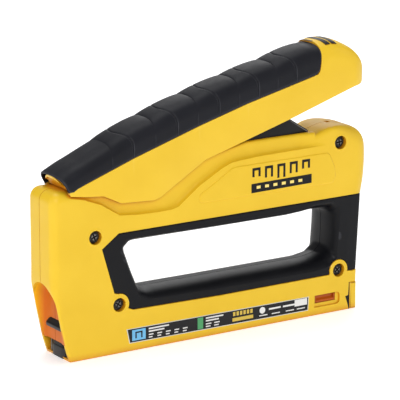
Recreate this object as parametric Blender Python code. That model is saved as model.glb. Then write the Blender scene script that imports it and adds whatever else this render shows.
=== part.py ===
"""Hand-operated staple gun, modelled as an assembly of separate pieces.

Lengths below are in millimetres. X runs from the nose (-X) to the tail (+X), Y across the tool and Z up.
Side-view coordinates count X from the lower front corner of the casing and Z from its flat base.
The left side is -Y and the right side is +Y.
"""

import math

import bmesh
import bpy
from mathutils import Matrix, Vector

MM = 0.001
GAP = 0.3                    # running gap between neighbouring pieces

# Driving dimensions
HALF_WIDTH = 13.5            # casing and lever, from the middle to the side
FRONT_X = -10.5              # front of the nose
TAIL_X = 196.3               # end of the lever and of the casing
ORIGIN_X = (FRONT_X + TAIL_X) / 2
WALL = 2.2                   # casing wall
SHOULDER_HALF_WIDTH = 10.6   # casing where the lever's flanges nest over it
BEAM_CAVITY_HALF_WIDTH = 8.7
MID_GAP = 0.15               # half the gap between the two casing shells
EDGE_RADIUS = 2.4            # rounding of the casing's outer edges

LEVER_PIVOT = (43.0, 88.0)   # hinge of the squeeze lever
ROCKER_PIVOT = (80.0, 86.0)  # hinge of the inner lever
SPRING_X = 6.0               # centre line of the power spring and the striker
BLADE_X = (2.4, 3.6)         # front and back of the driver blade
ROLLER_CENTRE = (134.0, 128.2)
ROLLER_RADIUS = 5.0
AXLE_RADIUS = 1.6
MOUTH_HALF_WIDTH = 11.2
MOUTH_SPRING_Z = 33.0        # where the mouth's arch begins
MOUTH_TOP_Z = 43.2
LIFT_PIN_CENTRE = (SPRING_X + 0.6, 36.4)
LIFT_PIN_RADIUS = 1.5
FOOT_SLOT_LENGTH = 7.8       # travel of the lift pin along the slot in the inner lever's feet
PIN_RADIUS = 2.5
PIN_HOLE_RADIUS = 2.8
ROCKER_PIN_REACH = 9.6       # half the length of the inner lever's pin
SCREW_PLACES = {
    "casing_screw_front_upper": (16.0, 67.2),
    "casing_screw_front_lower": (30.6, 27.5),
    "casing_screw_rear_upper": (175.9, 98.8),
    "casing_screw_rear_lower": (175.7, 24.4),
}
SCREW_HEAD_RADIUS = 3.4
SCREW_SHANK_RADIUS = 1.7
COUNTERBORE_RADIUS = 3.8
COUNTERBORE_DEPTH = 4.6
BOSS_RADIUS = 4.6

MAGAZINE_END_X = 183.3       # where the casing ends and the magazine's cap begins
CAP_END_X = 188.3
CAP_TOP_Z = 15.9
RAIL_HALF_WIDTH = 4.8
RAIL_Z = (3.0, 11.0)
RAIL_X = (5.0, 183.0)
PUSHER_X = (6.0, 18.0)
ROD_Z = 6.4
ROD_RADIUS = 1.2
SPRING_END_X = 174.0         # where the pusher spring rests against the magazine's cap
PUSHER_SLOT_HALF_WIDTH = 1.6
LATCH_X = (160.5, 173.5)
LATCH_Z = (6.6, 11.6)

# name: (colour, roughness, metallic)
FINISHES = {
    "yellow_plastic": ((0.93, 0.56, 0.03, 1.0), 0.42, 0.0),
    "black_rubber": ((0.025, 0.026, 0.032, 1.0), 0.62, 0.0),
    "black_steel": ((0.03, 0.03, 0.034, 1.0), 0.38, 0.9),
    "bright_steel": ((0.56, 0.57, 0.58, 1.0), 0.32, 1.0),
    "spring_steel": ((0.45, 0.46, 0.48, 1.0), 0.35, 1.0),
    "amber_plastic": ((0.78, 0.36, 0.02, 1.0), 0.45, 0.0),
}


# ---------------------------------------------------------------- helpers

def clear_scene():
    for item in list(bpy.data.objects):
        bpy.data.objects.remove(item)


def place(x, y, z):
    """Side-view millimetres to world metres."""
    return ((x - ORIGIN_X) * MM, y * MM, z * MM)


def make_material(name):
    colour, roughness, metallic = FINISHES[name]
    material = bpy.data.materials.get(name) or bpy.data.materials.new(name)
    material.use_nodes = True
    shader = material.node_tree.nodes["Principled BSDF"]
    shader.inputs["Base Color"].default_value = colour
    shader.inputs["Roughness"].default_value = roughness
    shader.inputs["Metallic"].default_value = metallic
    material.diffuse_color = colour
    return material


def add_object(name, bm):
    bmesh.ops.recalc_face_normals(bm, faces=bm.faces)
    mesh = bpy.data.meshes.new(name)
    bm.to_mesh(mesh)
    bm.free()
    item = bpy.data.objects.new(name, mesh)
    bpy.context.scene.collection.objects.link(item)
    return item


def loft(name, rings):
    """Closed solid through equal-length rings of world points, with flat ends."""
    bm = bmesh.new()
    loops = [[bm.verts.new(point) for point in ring] for ring in rings]
    count = len(loops[0])
    for first, second in zip(loops, loops[1:]):
        for i in range(count):
            j = (i + 1) % count
            bm.faces.new((first[i], first[j], second[j], second[i]))
    bm.faces.new(loops[0][::-1])
    bm.faces.new(loops[-1])
    return add_object(name, bm)


def arc(centre, radius, start, end, steps):
    """Points on a circle in side view; the angles are in degrees."""
    points = []
    for i in range(steps + 1):
        angle = math.radians(start + (end - start) * i / steps)
        points.append((centre[0] + radius * math.cos(angle), centre[1] + radius * math.sin(angle)))
    return points


def inset(outline, distance):
    """Moves each point of a side-view outline inward (negative: outward) by a mitred distance."""
    area = sum(a[0] * b[1] - b[0] * a[1] for a, b in zip(outline, outline[1:] + outline[:1]))
    side = 1.0 if area > 0 else -1.0
    moved = []
    for i, point in enumerate(outline):
        here = Vector(point)
        before = (here - Vector(outline[i - 1])).normalized()
        after = (Vector(outline[(i + 1) % len(outline)]) - here).normalized()
        normal_a = Vector((-before.y, before.x)) * side
        normal_b = Vector((-after.y, after.x)) * side
        bisector = (normal_a + normal_b).normalized()
        reach = distance / max(0.5, bisector.dot(normal_a))
        moved.append(tuple(here + bisector * reach))
    return moved


def prism(name, outline, y_start, y_end):
    """Side-view outline extruded across the tool."""
    return loft(name, [[place(x, y, z) for x, z in outline] for y in (y_start, y_end)])


def rounded_prism(name, outline, y_inner, y_outer, radius, steps=3):
    """Like prism, with the edge at y_outer rounded."""
    direction = 1.0 if y_outer > y_inner else -1.0
    rings = [[place(x, y_inner, z) for x, z in outline]]
    for i in range(steps + 1):
        angle = math.radians(90 * i / steps)
        y = y_outer - direction * radius * (1 - math.sin(angle))
        ring = inset(outline, radius * (1 - math.cos(angle)))
        rings.append([place(x, y, z) for x, z in ring])
    return loft(name, rings)


def block(name, x_range, y_range, z_range):
    (x0, x1), (z0, z1) = x_range, z_range
    return prism(name, [(x0, z0), (x1, z0), (x1, z1), (x0, z1)], *y_range)


def disc(name, centre, radius, y_start, y_end, sides=24):
    """Round bar across the tool."""
    return prism(name, arc(centre, radius, 0, 360 * (1 - 1 / sides), sides - 1), y_start, y_end)


def bar_along_x(name, x_range, z, radius, sides=16):
    rings = []
    for x in x_range:
        ring = arc((0.0, z), radius, 0, 360 * (1 - 1 / sides), sides - 1)
        rings.append([place(x, y, height) for y, height in ring])
    return loft(name, rings)


def combine(item, other, operation):
    """Boolean of two objects; the second one is used up."""
    modifier = item.modifiers.new("combine", "BOOLEAN")
    modifier.operation = operation
    modifier.solver = "EXACT"
    modifier.object = other
    bpy.context.view_layer.update()
    evaluated = item.evaluated_get(bpy.context.evaluated_depsgraph_get())
    mesh = bpy.data.meshes.new_from_object(evaluated)
    item.modifiers.clear()
    item.data = mesh
    bpy.data.objects.remove(other)
    return item


def cut(item, *cutters):
    for cutter in cutters:
        combine(item, cutter, "DIFFERENCE")
    return item


def join(item, *others):
    for other in others:
        combine(item, other, "UNION")
    return item


def finish(item, material, origin=None):
    """Gives a piece its material, soft shading and an origin, in side-view coordinates."""
    item.data.materials.clear()
    item.data.materials.append(make_material(material))
    item.data.shade_smooth()
    item.data.set_sharp_from_angle(angle=math.radians(32))
    if origin:
        point = Vector(place(origin[0], 0.0, origin[1]))
        item.data.transform(Matrix.Translation(-point))
        item.location = point
    return item


def helix(name, start, end, axis, centre, coil_radius, wire_radius, turns, steps_per_turn, wire_sides):
    """Coil spring along Z or X. centre holds the two coordinates square to the axis."""
    rings = []
    count = int(turns * steps_per_turn)
    for i in range(count + 1):
        angle = 2 * math.pi * i / steps_per_turn
        along = start + (end - start) * i / count
        ring = []
        for k in range(wire_sides):
            around = 2 * math.pi * k / wire_sides
            reach = coil_radius + wire_radius * math.cos(around)
            lift = along + wire_radius * math.sin(around)
            across = (reach * math.cos(angle), reach * math.sin(angle))
            if axis == "z":
                ring.append(place(centre[0] + across[0], centre[1] + across[1], lift))
            else:
                ring.append(place(lift, centre[0] + across[0], centre[1] + across[1]))
        rings.append(ring)
    return loft(name, rings)


# ---------------------------------------------------------------- outlines

def casing_outline():
    """Side view of both shells, from the lower front corner round by the rear."""
    points = [(0.0, 0.0), (MAGAZINE_END_X - GAP, 0.0), (MAGAZINE_END_X - GAP, CAP_TOP_Z + GAP)]
    points += [(CAP_END_X, CAP_TOP_Z + GAP), (188.6, 24.0), (191.0, 67.5), (194.0, 67.5), (195.8, 78.0)]
    points += [(TAIL_X, 91.0), (195.0, 98.6), (191.9, 103.2), (186.9, 106.2), (181.0, 107.9), (174.0, 108.4)]
    points += [(167.0, 107.6), (159.6, 105.4), (114.0, 106.6), (90.0, 103.0), (60.0, 96.0), (25.0, 94.2)]
    points += arc((-4.5, 88.2), 6.0, 90, 180, 4)
    points += [(FRONT_X, 42.0), (-9.6, 38.4), (-8.0, 34.6), (-6.6, 30.0), (-5.0, 19.0), (-2.6, 8.5)]
    return points


def shoulder_line():
    """Lower border of the narrowed upper part of the casing."""
    return [(-2.0, 90.0), (9.0, 88.0), (20.0, 84.0), (31.0, 77.3), (56.5, 75.7), (68.0, 76.4), (82.5, 86.6),
            (102.8, 97.2), (121.5, 97.9), (158.6, 98.0)]


def window_grip_outline():
    """Edge of the black insert that lines the hand window."""
    points = [(30.6, 67.5), (20.1, 60.1), (27.8, 34.2)]
    points += arc(SCREW_PLACES["casing_screw_front_lower"], 6.2, 96, -22, 6)
    points += [(39.5, 23.4), (95.0, 22.4), (169.0, 22.5)]
    points += arc(SCREW_PLACES["casing_screw_rear_lower"], 6.2, 186, -6, 8)
    points += [(185.6, 22.6), (188.4, 22.8), (190.9, 67.5)]
    return points


def hand_window_rings():
    """Edge of the hand window at the side face and at the middle of the tool."""
    side = [(36.0, 64.2), (95.0, 62.9), (141.0, 62.5), (153.0, 64.6), (176.0, 63.0), (174.0, 29.0)]
    side += [(160.0, 26.6), (95.0, 26.7), (49.0, 27.7), (42.7, 29.7), (37.2, 43.9), (32.4, 59.5)]
    middle = [(41.0, 60.3), (95.0, 60.3), (141.0, 60.3), (156.0, 60.3), (169.5, 57.5), (168.5, 36.0)]
    middle += [(161.0, 32.0), (95.0, 32.0), (53.0, 32.0), (46.0, 35.0), (41.0, 45.5), (36.5, 57.0)]
    return side, middle


def lever_outline():
    """Side view of the squeeze lever with its grip."""
    points = [(-4.6, 103.0), (0.4, 93.6), (1.8, 91.0), (21.6, 89.1), (32.6, 83.7), (53.5, 82.5), (57.2, 83.6)]
    points += [(85.8, 100.5), (111.5, 107.7), (143.4, 116.8), (185.7, 129.9), (TAIL_X - 0.3, 131.2)]
    points += [(TAIL_X, 134.0), (195.2, 140.5), (192.0, 145.6), (186.5, 151.2), (180.0, 154.6)]
    points += [(170.5, 157.0), (158.0, 160.0)]
    points += [(60.0, 160.0), (-4.6, 120.0)]
    return points


def grip_base_line():
    """Lower edge of the rubber grip on the lever."""
    return [(0.1, 93.6), (40.0, 107.3), (82.2, 120.1), (113.4, 128.6), (157.8, 138.9)]


def rocker_outline():
    """Side view of the inner lever: a high tail, a slender arm and a leg down to the striker."""
    return [(158.0, 106.9), (134.0, 122.3), (128.0, 118.0), (112.5, 104.6), (98.0, 98.6), (84.0, 92.6),
            (76.0, 90.4), (66.0, 83.2), (43.0, 78.0), (4.0, 76.8), (4.0, 32.4), (17.8, 32.4), (17.8, 40.2),
            (11.4, 44.0), (11.4, 72.4), (64.0, 72.4), (80.0, 80.4), (100.0, 88.0), (150.0, 98.0)]


# ---------------------------------------------------------------- casing

def interpolate(line, x):
    for (x0, z0), (x1, z1) in zip(line, line[1:]):
        if x0 <= x <= x1:
            return z0 + (z1 - z0) * (x - x0) / (x1 - x0)
    return line[0][1] if x < line[0][0] else line[-1][1]


def shoulder_cutter(side):
    """Takes the side of the casing back above the shoulder line, with a sloped ledge."""
    slope_rise = 1.2
    line = shoulder_line()
    outer = [(-20.0, 90.5)] + line + [(159.8, 104.6), (159.8, 125.0), (-20.0, 125.0)]
    inner = [(x, z + slope_rise) for x, z in outer]
    rings = [[place(x, side * (HALF_WIDTH + 0.5), z) for x, z in outer]]
    rings.append([place(x, side * SHOULDER_HALF_WIDTH, z) for x, z in inner])
    return loft("shoulder_cutter", rings)


def window_cutter(side):
    edge, middle = hand_window_rings()
    rings = [[place(x, side * (HALF_WIDTH + 1.0), z) for x, z in inset(edge, -0.6)]]
    rings.append([place(x, side * (HALF_WIDTH - 1.6), z) for x, z in edge])
    halfway = [((a[0] + 2 * b[0]) / 3, (a[1] + 2 * b[1]) / 3) for a, b in zip(edge, middle)]
    rings.append([place(x, side * 8.5, z) for x, z in halfway])
    rings.append([place(x, side * 3.5, z) for x, z in middle])
    rings.append([place(x, -side * 1.0, z) for x, z in middle])
    return loft("window_cutter", rings)


def core_column(side, grow):
    """Strut inside the rear of the hand window that ties the top of the shell to its foot."""
    x_range = (175.6 - grow, 184.0 + grow)
    return block("core_column", x_range, (-side, side * (8.0 + grow)), (18.0, 71.0))


def casing_cavities(side):
    """Hollows for the mechanism beam, the striker bay and the magazine."""
    outer = side * (HALF_WIDTH - WALL)
    inside = -side * 1.0
    beam = [(24.0, 71.6), (189.5, 71.6), (192.0, 90.0), (189.0, 98.0), (180.0, 104.6), (162.0, 103.2),
            (113.0, 104.2), (90.0, 100.8), (60.0, 93.8), (24.0, 92.0)]
    low_beam = [(24.0, 71.6), (188.5, 71.6), (190.4, 84.0), (188.0, 93.0), (100.0, 94.0), (84.0, 84.6),
                (69.0, 73.6), (24.0, 73.6)]
    bay = [(-8.2, 8.0), (22.6, 8.0), (24.4, 24.0), (24.0, 33.5), (17.4, 58.0), (17.4, 71.6), (25.0, 74.0),
           (25.0, 76.4), (16.0, 82.4), (-8.2, 87.0)]
    bay_top = [(-8.2, 60.0), (25.0, 71.6), (25.0, 92.0), (-4.8, 92.0), (-8.2, 88.0)]
    beyond_end = MAGAZINE_END_X + 1.0
    magazine = [(-8.0, 1.4), (beyond_end, 1.4), (beyond_end, 15.0), (178.0, 19.6), (20.0, 19.6), (-8.0, 19.6)]
    narrow = side * BEAM_CAVITY_HALF_WIDTH
    return [
        prism("cavity", beam, inside, narrow),
        prism("cavity", low_beam, inside, outer),
        prism("cavity", bay, inside, outer),
        prism("cavity", bay_top, inside, narrow),
        prism("cavity", magazine, inside, outer),
    ]


def nose_mouth(side):
    """Arched opening across the foot of the nose."""
    outline = [(-1.0, -1.0), (MOUTH_HALF_WIDTH, -1.0)]
    steps = 6
    for i in range(steps + 1):
        angle = math.radians(90 * i / steps)
        y = MOUTH_HALF_WIDTH * math.cos(angle)
        outline.append((y, MOUTH_SPRING_Z + (MOUTH_TOP_Z - MOUTH_SPRING_Z) * math.sin(angle)))
    outline.append((-1.0, MOUTH_TOP_Z))
    return loft("nose_mouth", [[place(x, side * y, z) for y, z in outline] for x in (-16.0, 4.4)])


def nose_webs(side):
    """Wall behind the mouth, in two pieces that leave room for the upper band."""
    y_range = (side * MID_GAP, side * (MOUTH_HALF_WIDTH + 0.5))
    return [block("web", (-2.6, -1.5), y_range, z_range) for z_range in ((9.7, 15.1), (24.1, 41.0))]


def screw_bosses(side):
    """Posts that the casing screws pass through."""
    posts = []
    for x, z in SCREW_PLACES.values():
        posts.append(disc("boss", (x, z), BOSS_RADIUS, side * MID_GAP, side * (HALF_WIDTH - WALL + 0.5), 16))
    return posts


def pin_bosses(side):
    """Short rings that carry the two hinge pins."""
    start = side * (BEAM_CAVITY_HALF_WIDTH - 0.15)
    end = side * (BEAM_CAVITY_HALF_WIDTH + 0.6)
    return [disc("boss", centre, 4.2, start, end, 16) for centre in (LEVER_PIVOT, ROCKER_PIVOT)]


def casing_shell(name, side):
    shell = rounded_prism(name, casing_outline(), side * MID_GAP, side * HALF_WIDTH, EDGE_RADIUS)
    insert_seat = prism("seat", inset(window_grip_outline(), -GAP), -side, side * (HALF_WIDTH + 1.0))
    rear_relief = block("relief", (185.0, 195.0), (-side, side * (HALF_WIDTH + 1.0)), (22.5, 67.8))
    cut(insert_seat, core_column(side, 0.0))
    cut(shell, insert_seat, rear_relief, shoulder_cutter(side), *casing_cavities(side), nose_mouth(side))
    join(shell, *screw_bosses(side), *pin_bosses(side), *nose_webs(side))
    slot = [(109.0, 100.0), (159.0, 100.0), (160.2, 105.8), (158.6, 112.0), (109.0, 112.0)]
    cut(shell, prism("slot", slot, -side, side * BEAM_CAVITY_HALF_WIDTH))
    for x, z in SCREW_PLACES.values():
        cut(shell, disc("hole", (x, z), SCREW_SHANK_RADIUS + GAP, -side, side * (HALF_WIDTH - 1.6), 14))
        if side < 0:
            depth = HALF_WIDTH - COUNTERBORE_DEPTH
            cut(shell, disc("bore", (x, z), COUNTERBORE_RADIUS, side * depth, side * (HALF_WIDTH + 1.0), 18))
    cut(shell, disc("hole", LEVER_PIVOT, PIN_HOLE_RADIUS, -side, side * (HALF_WIDTH + 1.0), 18))
    cut(shell, disc("hole", ROCKER_PIVOT, PIN_HOLE_RADIUS, -side, side * (ROCKER_PIN_REACH + GAP), 18))
    latch_window = [(159.6, 5.0), (175.6, 5.0)] + arc((175.2, 6.4), 1.4, -60, 0, 2)
    latch_window += arc((175.2, 10.4), 1.4, 0, 90, 2) + [(159.6, 11.9)]
    cut(shell, prism("latch_window", latch_window, side * 9.0, side * (HALF_WIDTH + 1.0)))
    return finish(shell, "yellow_plastic")


def window_grip(name, side):
    grip = rounded_prism(name, window_grip_outline(), side * MID_GAP, side * HALF_WIDTH, 1.2, 2)
    cut(grip, window_cutter(side), core_column(side, GAP))
    return finish(grip, "black_rubber")


def casing_screw(name, centre):
    """Pan-head screw with a cross recess, entering from the left side."""
    head_face = -(HALF_WIDTH - 1.5)
    head_seat = -(HALF_WIDTH - COUNTERBORE_DEPTH + GAP)
    screw = disc(name, centre, SCREW_HEAD_RADIUS, head_face, head_seat, 20)
    join(screw, disc("shank", centre, SCREW_SHANK_RADIUS, head_seat - 0.5, HALF_WIDTH - 2.6, 12))
    x, z = centre
    recess_reach, recess_half, recess_depth = 2.0, 0.4, 1.3
    span = (head_face - 1.0, head_face + recess_depth)
    cut(screw, block("slot", (x - recess_reach, x + recess_reach), span, (z - recess_half, z + recess_half)))
    cut(screw, block("slot", (x - recess_half, x + recess_half), span, (z - recess_reach, z + recess_reach)))
    return finish(screw, "black_steel")


# ---------------------------------------------------------------- nose and striker

def round_front(x_back, x_front, half, corner=4.0, steps=4):
    """Plan outline with round front corners, as (x, y) points."""
    depth = min(corner, x_back - 0.1 - x_front)
    points = [(x_back, half)]
    for side in (1, -1):
        for i in range(steps + 1):
            angle = math.radians(90 * (i if side > 0 else steps - i) / steps)
            y = half - corner + corner * math.cos(angle)
            points.append((x_front + depth * (1 - math.sin(angle)), side * y))
    points.append((x_back, -half))
    return points


def plan_loft(name, levels):
    """Solid through plan outlines, given as (z, outline) pairs from the bottom up."""
    return loft(name, [[place(x, y, z) for x, y in outline] for z, outline in levels])


def nose_guide():
    """Steel nose: a back plate, a wide upper lip with a domed top and a narrower foot."""
    guide = block("nose_guide", (0.6, 2.0), (-9.0, 9.0), (0.0, 24.5))
    lip_levels = ((16.4, -3.2, 10.4), (18.6, -3.2, 10.4), (21.0, -2.0, 8.4), (23.4, -0.9, 5.6))
    foot_levels = ((0.0, -0.6, 7.5), (6.4, -0.6, 7.5), (9.4, 0.2, 6.6))
    for levels in (lip_levels, foot_levels):
        join(guide, plan_loft("band", [(z, round_front(1.4, x_front, half)) for z, x_front, half in levels]))
    return finish(guide, "black_steel")


def striker_block():
    """Steel carrier between the power spring and the driver blade."""
    carrier = block("striker_block", (-0.6, 12.6), (-6.2, 6.2), (30.2, 43.0))
    cut(carrier, block("blade_slot", (BLADE_X[0] - GAP, BLADE_X[1] + GAP), (-5.6, 5.6), (29.0, 36.0)))
    cut(carrier, disc("pin_hole", LIFT_PIN_CENTRE, LIFT_PIN_RADIUS + GAP, -8.0, 8.0, 16))
    return finish(carrier, "bright_steel", (SPRING_X, 30.2))


def lift_pin():
    """Cross pin of the striker, caught in the slotted feet of the inner lever."""
    pin = disc("lift_pin", LIFT_PIN_CENTRE, LIFT_PIN_RADIUS, -8.8, 8.8, 16)
    return finish(pin, "bright_steel", (SPRING_X, 30.2))


def striker_blade():
    blade = block("striker_blade", BLADE_X, (-5.3, 5.3), (1.0, 35.7))
    return finish(blade, "bright_steel", (SPRING_X, 1.0))


def power_spring():
    coil = helix("power_spring", 44.7, 86.2, "z", (SPRING_X, 0.0), 4.8, 1.1, 8, 12, 6)
    return finish(coil, "spring_steel")


def spring_seat():
    seat = block("spring_seat", (-0.2, 12.2), (-6.2, 6.2), (88.0, 91.7))
    join(seat, block("key", (-4.0, 16.0), (-4.0, 4.0), (90.0, 91.7)))
    return finish(seat, "black_steel")


def impact_bumper():
    """Rubber stop that the striker lands on, with a slot for the blade."""
    pad = block("impact_bumper", (-0.6, 12.6), (-8.0, 8.0), (26.0, 29.8))
    cut(pad, block("blade_slot", (BLADE_X[0] - GAP, BLADE_X[1] + GAP), (-5.8, 5.8), (25.0, 31.0)))
    return finish(pad, "black_rubber")


def bumper_plate():
    """Steel bridge under the stop, above the magazine."""
    plate = block("bumper_plate", (4.2, 22.0), (-10.6, 10.6), (20.6, 25.7))
    cut(plate, block("hollow", (6.0, 23.0), (-9.0, 9.0), (19.0, 23.9)))
    return finish(plate, "bright_steel")


# ---------------------------------------------------------------- levers

def grip_crown(x):
    """Height of the top of the lever grip: a curved ridge with five soft waves."""
    base_line = [(-12.0, 98.6), (-4.4, 102.6), (17.8, 112.6), (40.4, 121.6), (67.0, 130.8), (94.1, 138.8),
                 (121.6, 145.9), (145.6, 151.4), (160.0, 155.2), (172.0, 158.5), (204.0, 160.0)]
    wave = 0.0
    if 20.0 < x < 154.0:
        wave = 0.55 * math.cos(2 * math.pi * (x - 40.0) / 26.6)
    return interpolate(base_line, x) + wave


def arch_ring(x, low, top, half, steps=10):
    """Section of the lever: upright sides under a broad round arch."""
    upright = low + 0.30 * (top - low)
    points = [(-half, 60.0), (-half, upright)]
    for i in range(1, steps):
        angle = math.pi - math.pi * i / steps
        c, s = math.cos(angle), math.sin(angle)
        y = half * math.copysign(abs(c) ** 0.72, c)
        points.append((y, upright + (top - upright) * abs(s) ** 0.72))
    points += [(half, upright), (half, 60.0)]
    return [place(x, y, z) for y, z in points]


def lever_stations():
    return [-12.0, -4.6, 5.0] + [13.4 + 6.65 * i for i in range(22)] + [160.0, 170.0, 185.0, 204.0]


def tail_plan(name, shrink):
    """Top view of the lever: straight sides and an elliptical tail."""
    tail_start = 185.1
    reach, half = TAIL_X - tail_start - shrink, HALF_WIDTH + 0.2 - shrink
    outline = [(-20.0, half), (tail_start, half)]
    for degrees in (20, 40, 55, 70, 82, 98, 110, 125, 140, 160):
        angle = math.radians(degrees)
        outline.append((tail_start + reach * math.sin(angle), half * math.cos(angle)))
    outline += [(tail_start, -half), (-20.0, -half)]
    return loft(name, [[place(x, y, z) for x, y in outline] for z in (60.0, 180.0)])


def arch_solid(name, shrink):
    """Solid under the crown of the lever, made smaller all round by shrink."""
    rings = []
    for x in lever_stations():
        low = interpolate(grip_base_line(), x)
        rings.append(arch_ring(x, low, grip_crown(x) - shrink, HALF_WIDTH - shrink))
    return loft(name, rings)


def grip_region(name, grow):
    """Side-view area above the lower edge of the grip, as a wide slab."""
    line = grip_base_line()
    outline = [(x, z - grow) for x, z in line]
    outline += [(161.6 + grow, 141.0), (162.8 + grow, 151.0), (162.8 + grow, 175.0)]
    outline += [(-12.0, 175.0), (-12.0, 93.0)]
    return prism(name, outline, -20.0, 20.0)


def lever_body(name):
    body = arch_solid(name, 0.0)
    combine(body, prism("side_view", lever_outline(), -20.0, 20.0), "INTERSECT")
    return combine(body, tail_plan("plan", 0.0), "INTERSECT")


def lever_handle():
    """Moulded inverted channel with a stepped top for the grip and a web across its front."""
    handle = lever_body("lever_handle")
    seat = grip_region("seat", 0.0)
    cut(seat, arch_solid("core", 2.9))
    cut(handle, seat)
    rings = []
    for x in [4.0] + [x for x in lever_stations() if 5.0 <= x < 196.0] + [195.5]:
        low = interpolate(grip_base_line(), x)
        rings.append(arch_ring(x, low, grip_crown(x) - 6.2, HALF_WIDTH - WALL))
    channel = loft("channel", rings)
    tail_limit = [(0.0, 50.0), (200.0, 50.0), (193.4, 133.0), (190.0, 141.6), (180.0, 148.6), (0.0, 180.0)]
    combine(channel, prism("limit", tail_limit, -20.0, 20.0), "INTERSECT")
    combine(channel, tail_plan("plan", WALL + 0.2), "INTERSECT")
    ear_outline = [(126.0, 124.2), (142.0, 124.2), (142.0, 152.0), (126.0, 152.0)]
    for side in (-1, 1):
        cut(channel, prism("ear", ear_outline, side * 7.4, side * 9.6))
    cut(handle, channel)
    cut(handle, block("front_recess", (-8.0, 2.4), (-8.6, 8.6), (80.0, 99.0)))
    cut(handle, block("nose_room", (-8.0, 4.6), (-11.2, 11.2), (80.0, 94.8)))
    for side in (-1, 1):
        cut(handle, disc("pin_hole", LEVER_PIVOT, PIN_HOLE_RADIUS, side * 11.0, side * 12.7, 18))
        cut(handle, disc("axle_hole", ROLLER_CENTRE, AXLE_RADIUS + GAP, side * 6.5, side * 10.6, 14))
    return finish(handle, "yellow_plastic", LEVER_PIVOT)


def lever_grip():
    """Rubber overlay on the lever, waved along its top."""
    grip = lever_body("lever_grip")
    combine(grip, grip_region("region", -GAP), "INTERSECT")
    cut(grip, arch_solid("core", 2.9 - GAP))
    return finish(grip, "black_rubber", LEVER_PIVOT)


def lever_pivot_pin():
    return finish(disc("lever_pivot_pin", LEVER_PIVOT, PIN_RADIUS, -12.4, 12.4), "bright_steel")


def push_roller():
    """Roller in the lever that presses on the tail of the inner lever."""
    roller = disc("push_roller", ROLLER_CENTRE, ROLLER_RADIUS, -7.0, 7.0, 24)
    cut(roller, disc("hole", ROLLER_CENTRE, AXLE_RADIUS + GAP, -8.0, 8.0, 14))
    return finish(roller, "bright_steel", LEVER_PIVOT)


def roller_axle():
    return finish(disc("roller_axle", ROLLER_CENTRE, AXLE_RADIUS, -9.6, 9.6, 14), "bright_steel", LEVER_PIVOT)


def inner_lever():
    """Pressed channel that turns the push of the lever into the lift of the striker."""
    rocker = prism("inner_lever", rocker_outline(), -8.3, 8.3)
    hollow = [(170.0, 90.0), (156.0, 105.9), (134.0, 120.3), (128.8, 117.4), (113.0, 103.2), (98.0, 96.6),
              (90.0, 93.6), (84.0, 100.0), (60.0, 100.0), (-6.0, 100.0), (-6.0, 20.0), (60.0, 20.0),
              (170.0, 60.0)]
    cut(rocker, prism("hollow", hollow, -6.8, 6.8))
    cut(rocker, disc("pin_hole", ROCKER_PIVOT, PIN_HOLE_RADIUS, -10.0, 10.0, 18))
    x, z = LIFT_PIN_CENTRE
    reach = LIFT_PIN_RADIUS + GAP
    slot_x = (x - reach, x + FOOT_SLOT_LENGTH + reach)
    cut(rocker, block("foot_slot", slot_x, (-10.0, 10.0), (z - reach, z + reach)))
    return finish(rocker, "black_steel", ROCKER_PIVOT)


def inner_lever_pin():
    pin = disc("inner_lever_pin", ROCKER_PIVOT, PIN_RADIUS, -ROCKER_PIN_REACH, ROCKER_PIN_REACH)
    return finish(pin, "bright_steel")


# ---------------------------------------------------------------- magazine

def section_along_x(name, section, x_range):
    """Front-view outline, as (y, z) points, extruded along the tool."""
    return loft(name, [[place(x, y, z) for y, z in section] for x in x_range])


def magazine_channel():
    """Fixed steel trough that the staple rail slides in."""
    section = [(-8.4, 2.0), (8.4, 2.0), (8.4, 16.0), (7.2, 16.0), (7.2, 3.0 - 0.7), (-7.2, 3.0 - 0.7),
               (-7.2, 16.0), (-8.4, 16.0)]
    channel = section_along_x("magazine_channel", section, (4.2, 182.4))
    return finish(channel, "bright_steel")


def staple_rail():
    """Inverted steel channel that the staples straddle."""
    half, wall = RAIL_HALF_WIDTH, 1.0
    z0, z1 = RAIL_Z
    section = [(-half, z0), (-half + wall, z0), (-half + wall, z1 - wall), (half - wall, z1 - wall),
               (half - wall, z0), (half, z0), (half, z1), (-half, z1)]
    rail = section_along_x("staple_rail", section, RAIL_X)
    slot_half = PUSHER_SLOT_HALF_WIDTH
    cut(rail, block("slot", (RAIL_X[0] + 1.2, 172.0), (-slot_half, slot_half), (z1 - wall - 0.5, z1 + 0.5)))
    return finish(rail, "bright_steel", (RAIL_X[0], z0))


def staple_pusher():
    """Saddle over the rail, with a tongue inside it that the spring presses on."""
    half, wall = RAIL_HALF_WIDTH, 1.0
    z0, z1 = RAIL_Z
    pusher = block("staple_pusher", PUSHER_X, (-6.6, 6.6), (z0 + 0.4, 12.8))
    cut(pusher, block("rail_room", (0.0, 30.0), (-half - GAP, half + GAP), (z0 - 2.0, z1 + GAP)))
    inner = half - wall - GAP
    tongue_x = (PUSHER_X[0] + 1.0, PUSHER_X[1] - 1.0)
    tongue = block("tongue", tongue_x, (-inner, inner), (z0 + 0.2, z1 - wall - GAP))
    slot_half = PUSHER_SLOT_HALF_WIDTH - GAP
    join(tongue, block("neck", tongue_x, (-slot_half, slot_half), (z0 + 3.0, z1 + 1.0)))
    join(pusher, tongue)
    cut(pusher, bar_along_x("rod_hole", (0.0, 30.0), ROD_Z, ROD_RADIUS + GAP))
    return finish(pusher, "black_steel", (PUSHER_X[0], z0))


def pusher_rod():
    """Guide rod of the pusher spring, fixed in the magazine's cap."""
    rod = bar_along_x("pusher_rod", (RAIL_X[0] + 1.0, CAP_END_X - 2.6), ROD_Z, ROD_RADIUS)
    return finish(rod, "bright_steel", (RAIL_X[0], ROD_Z))


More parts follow.
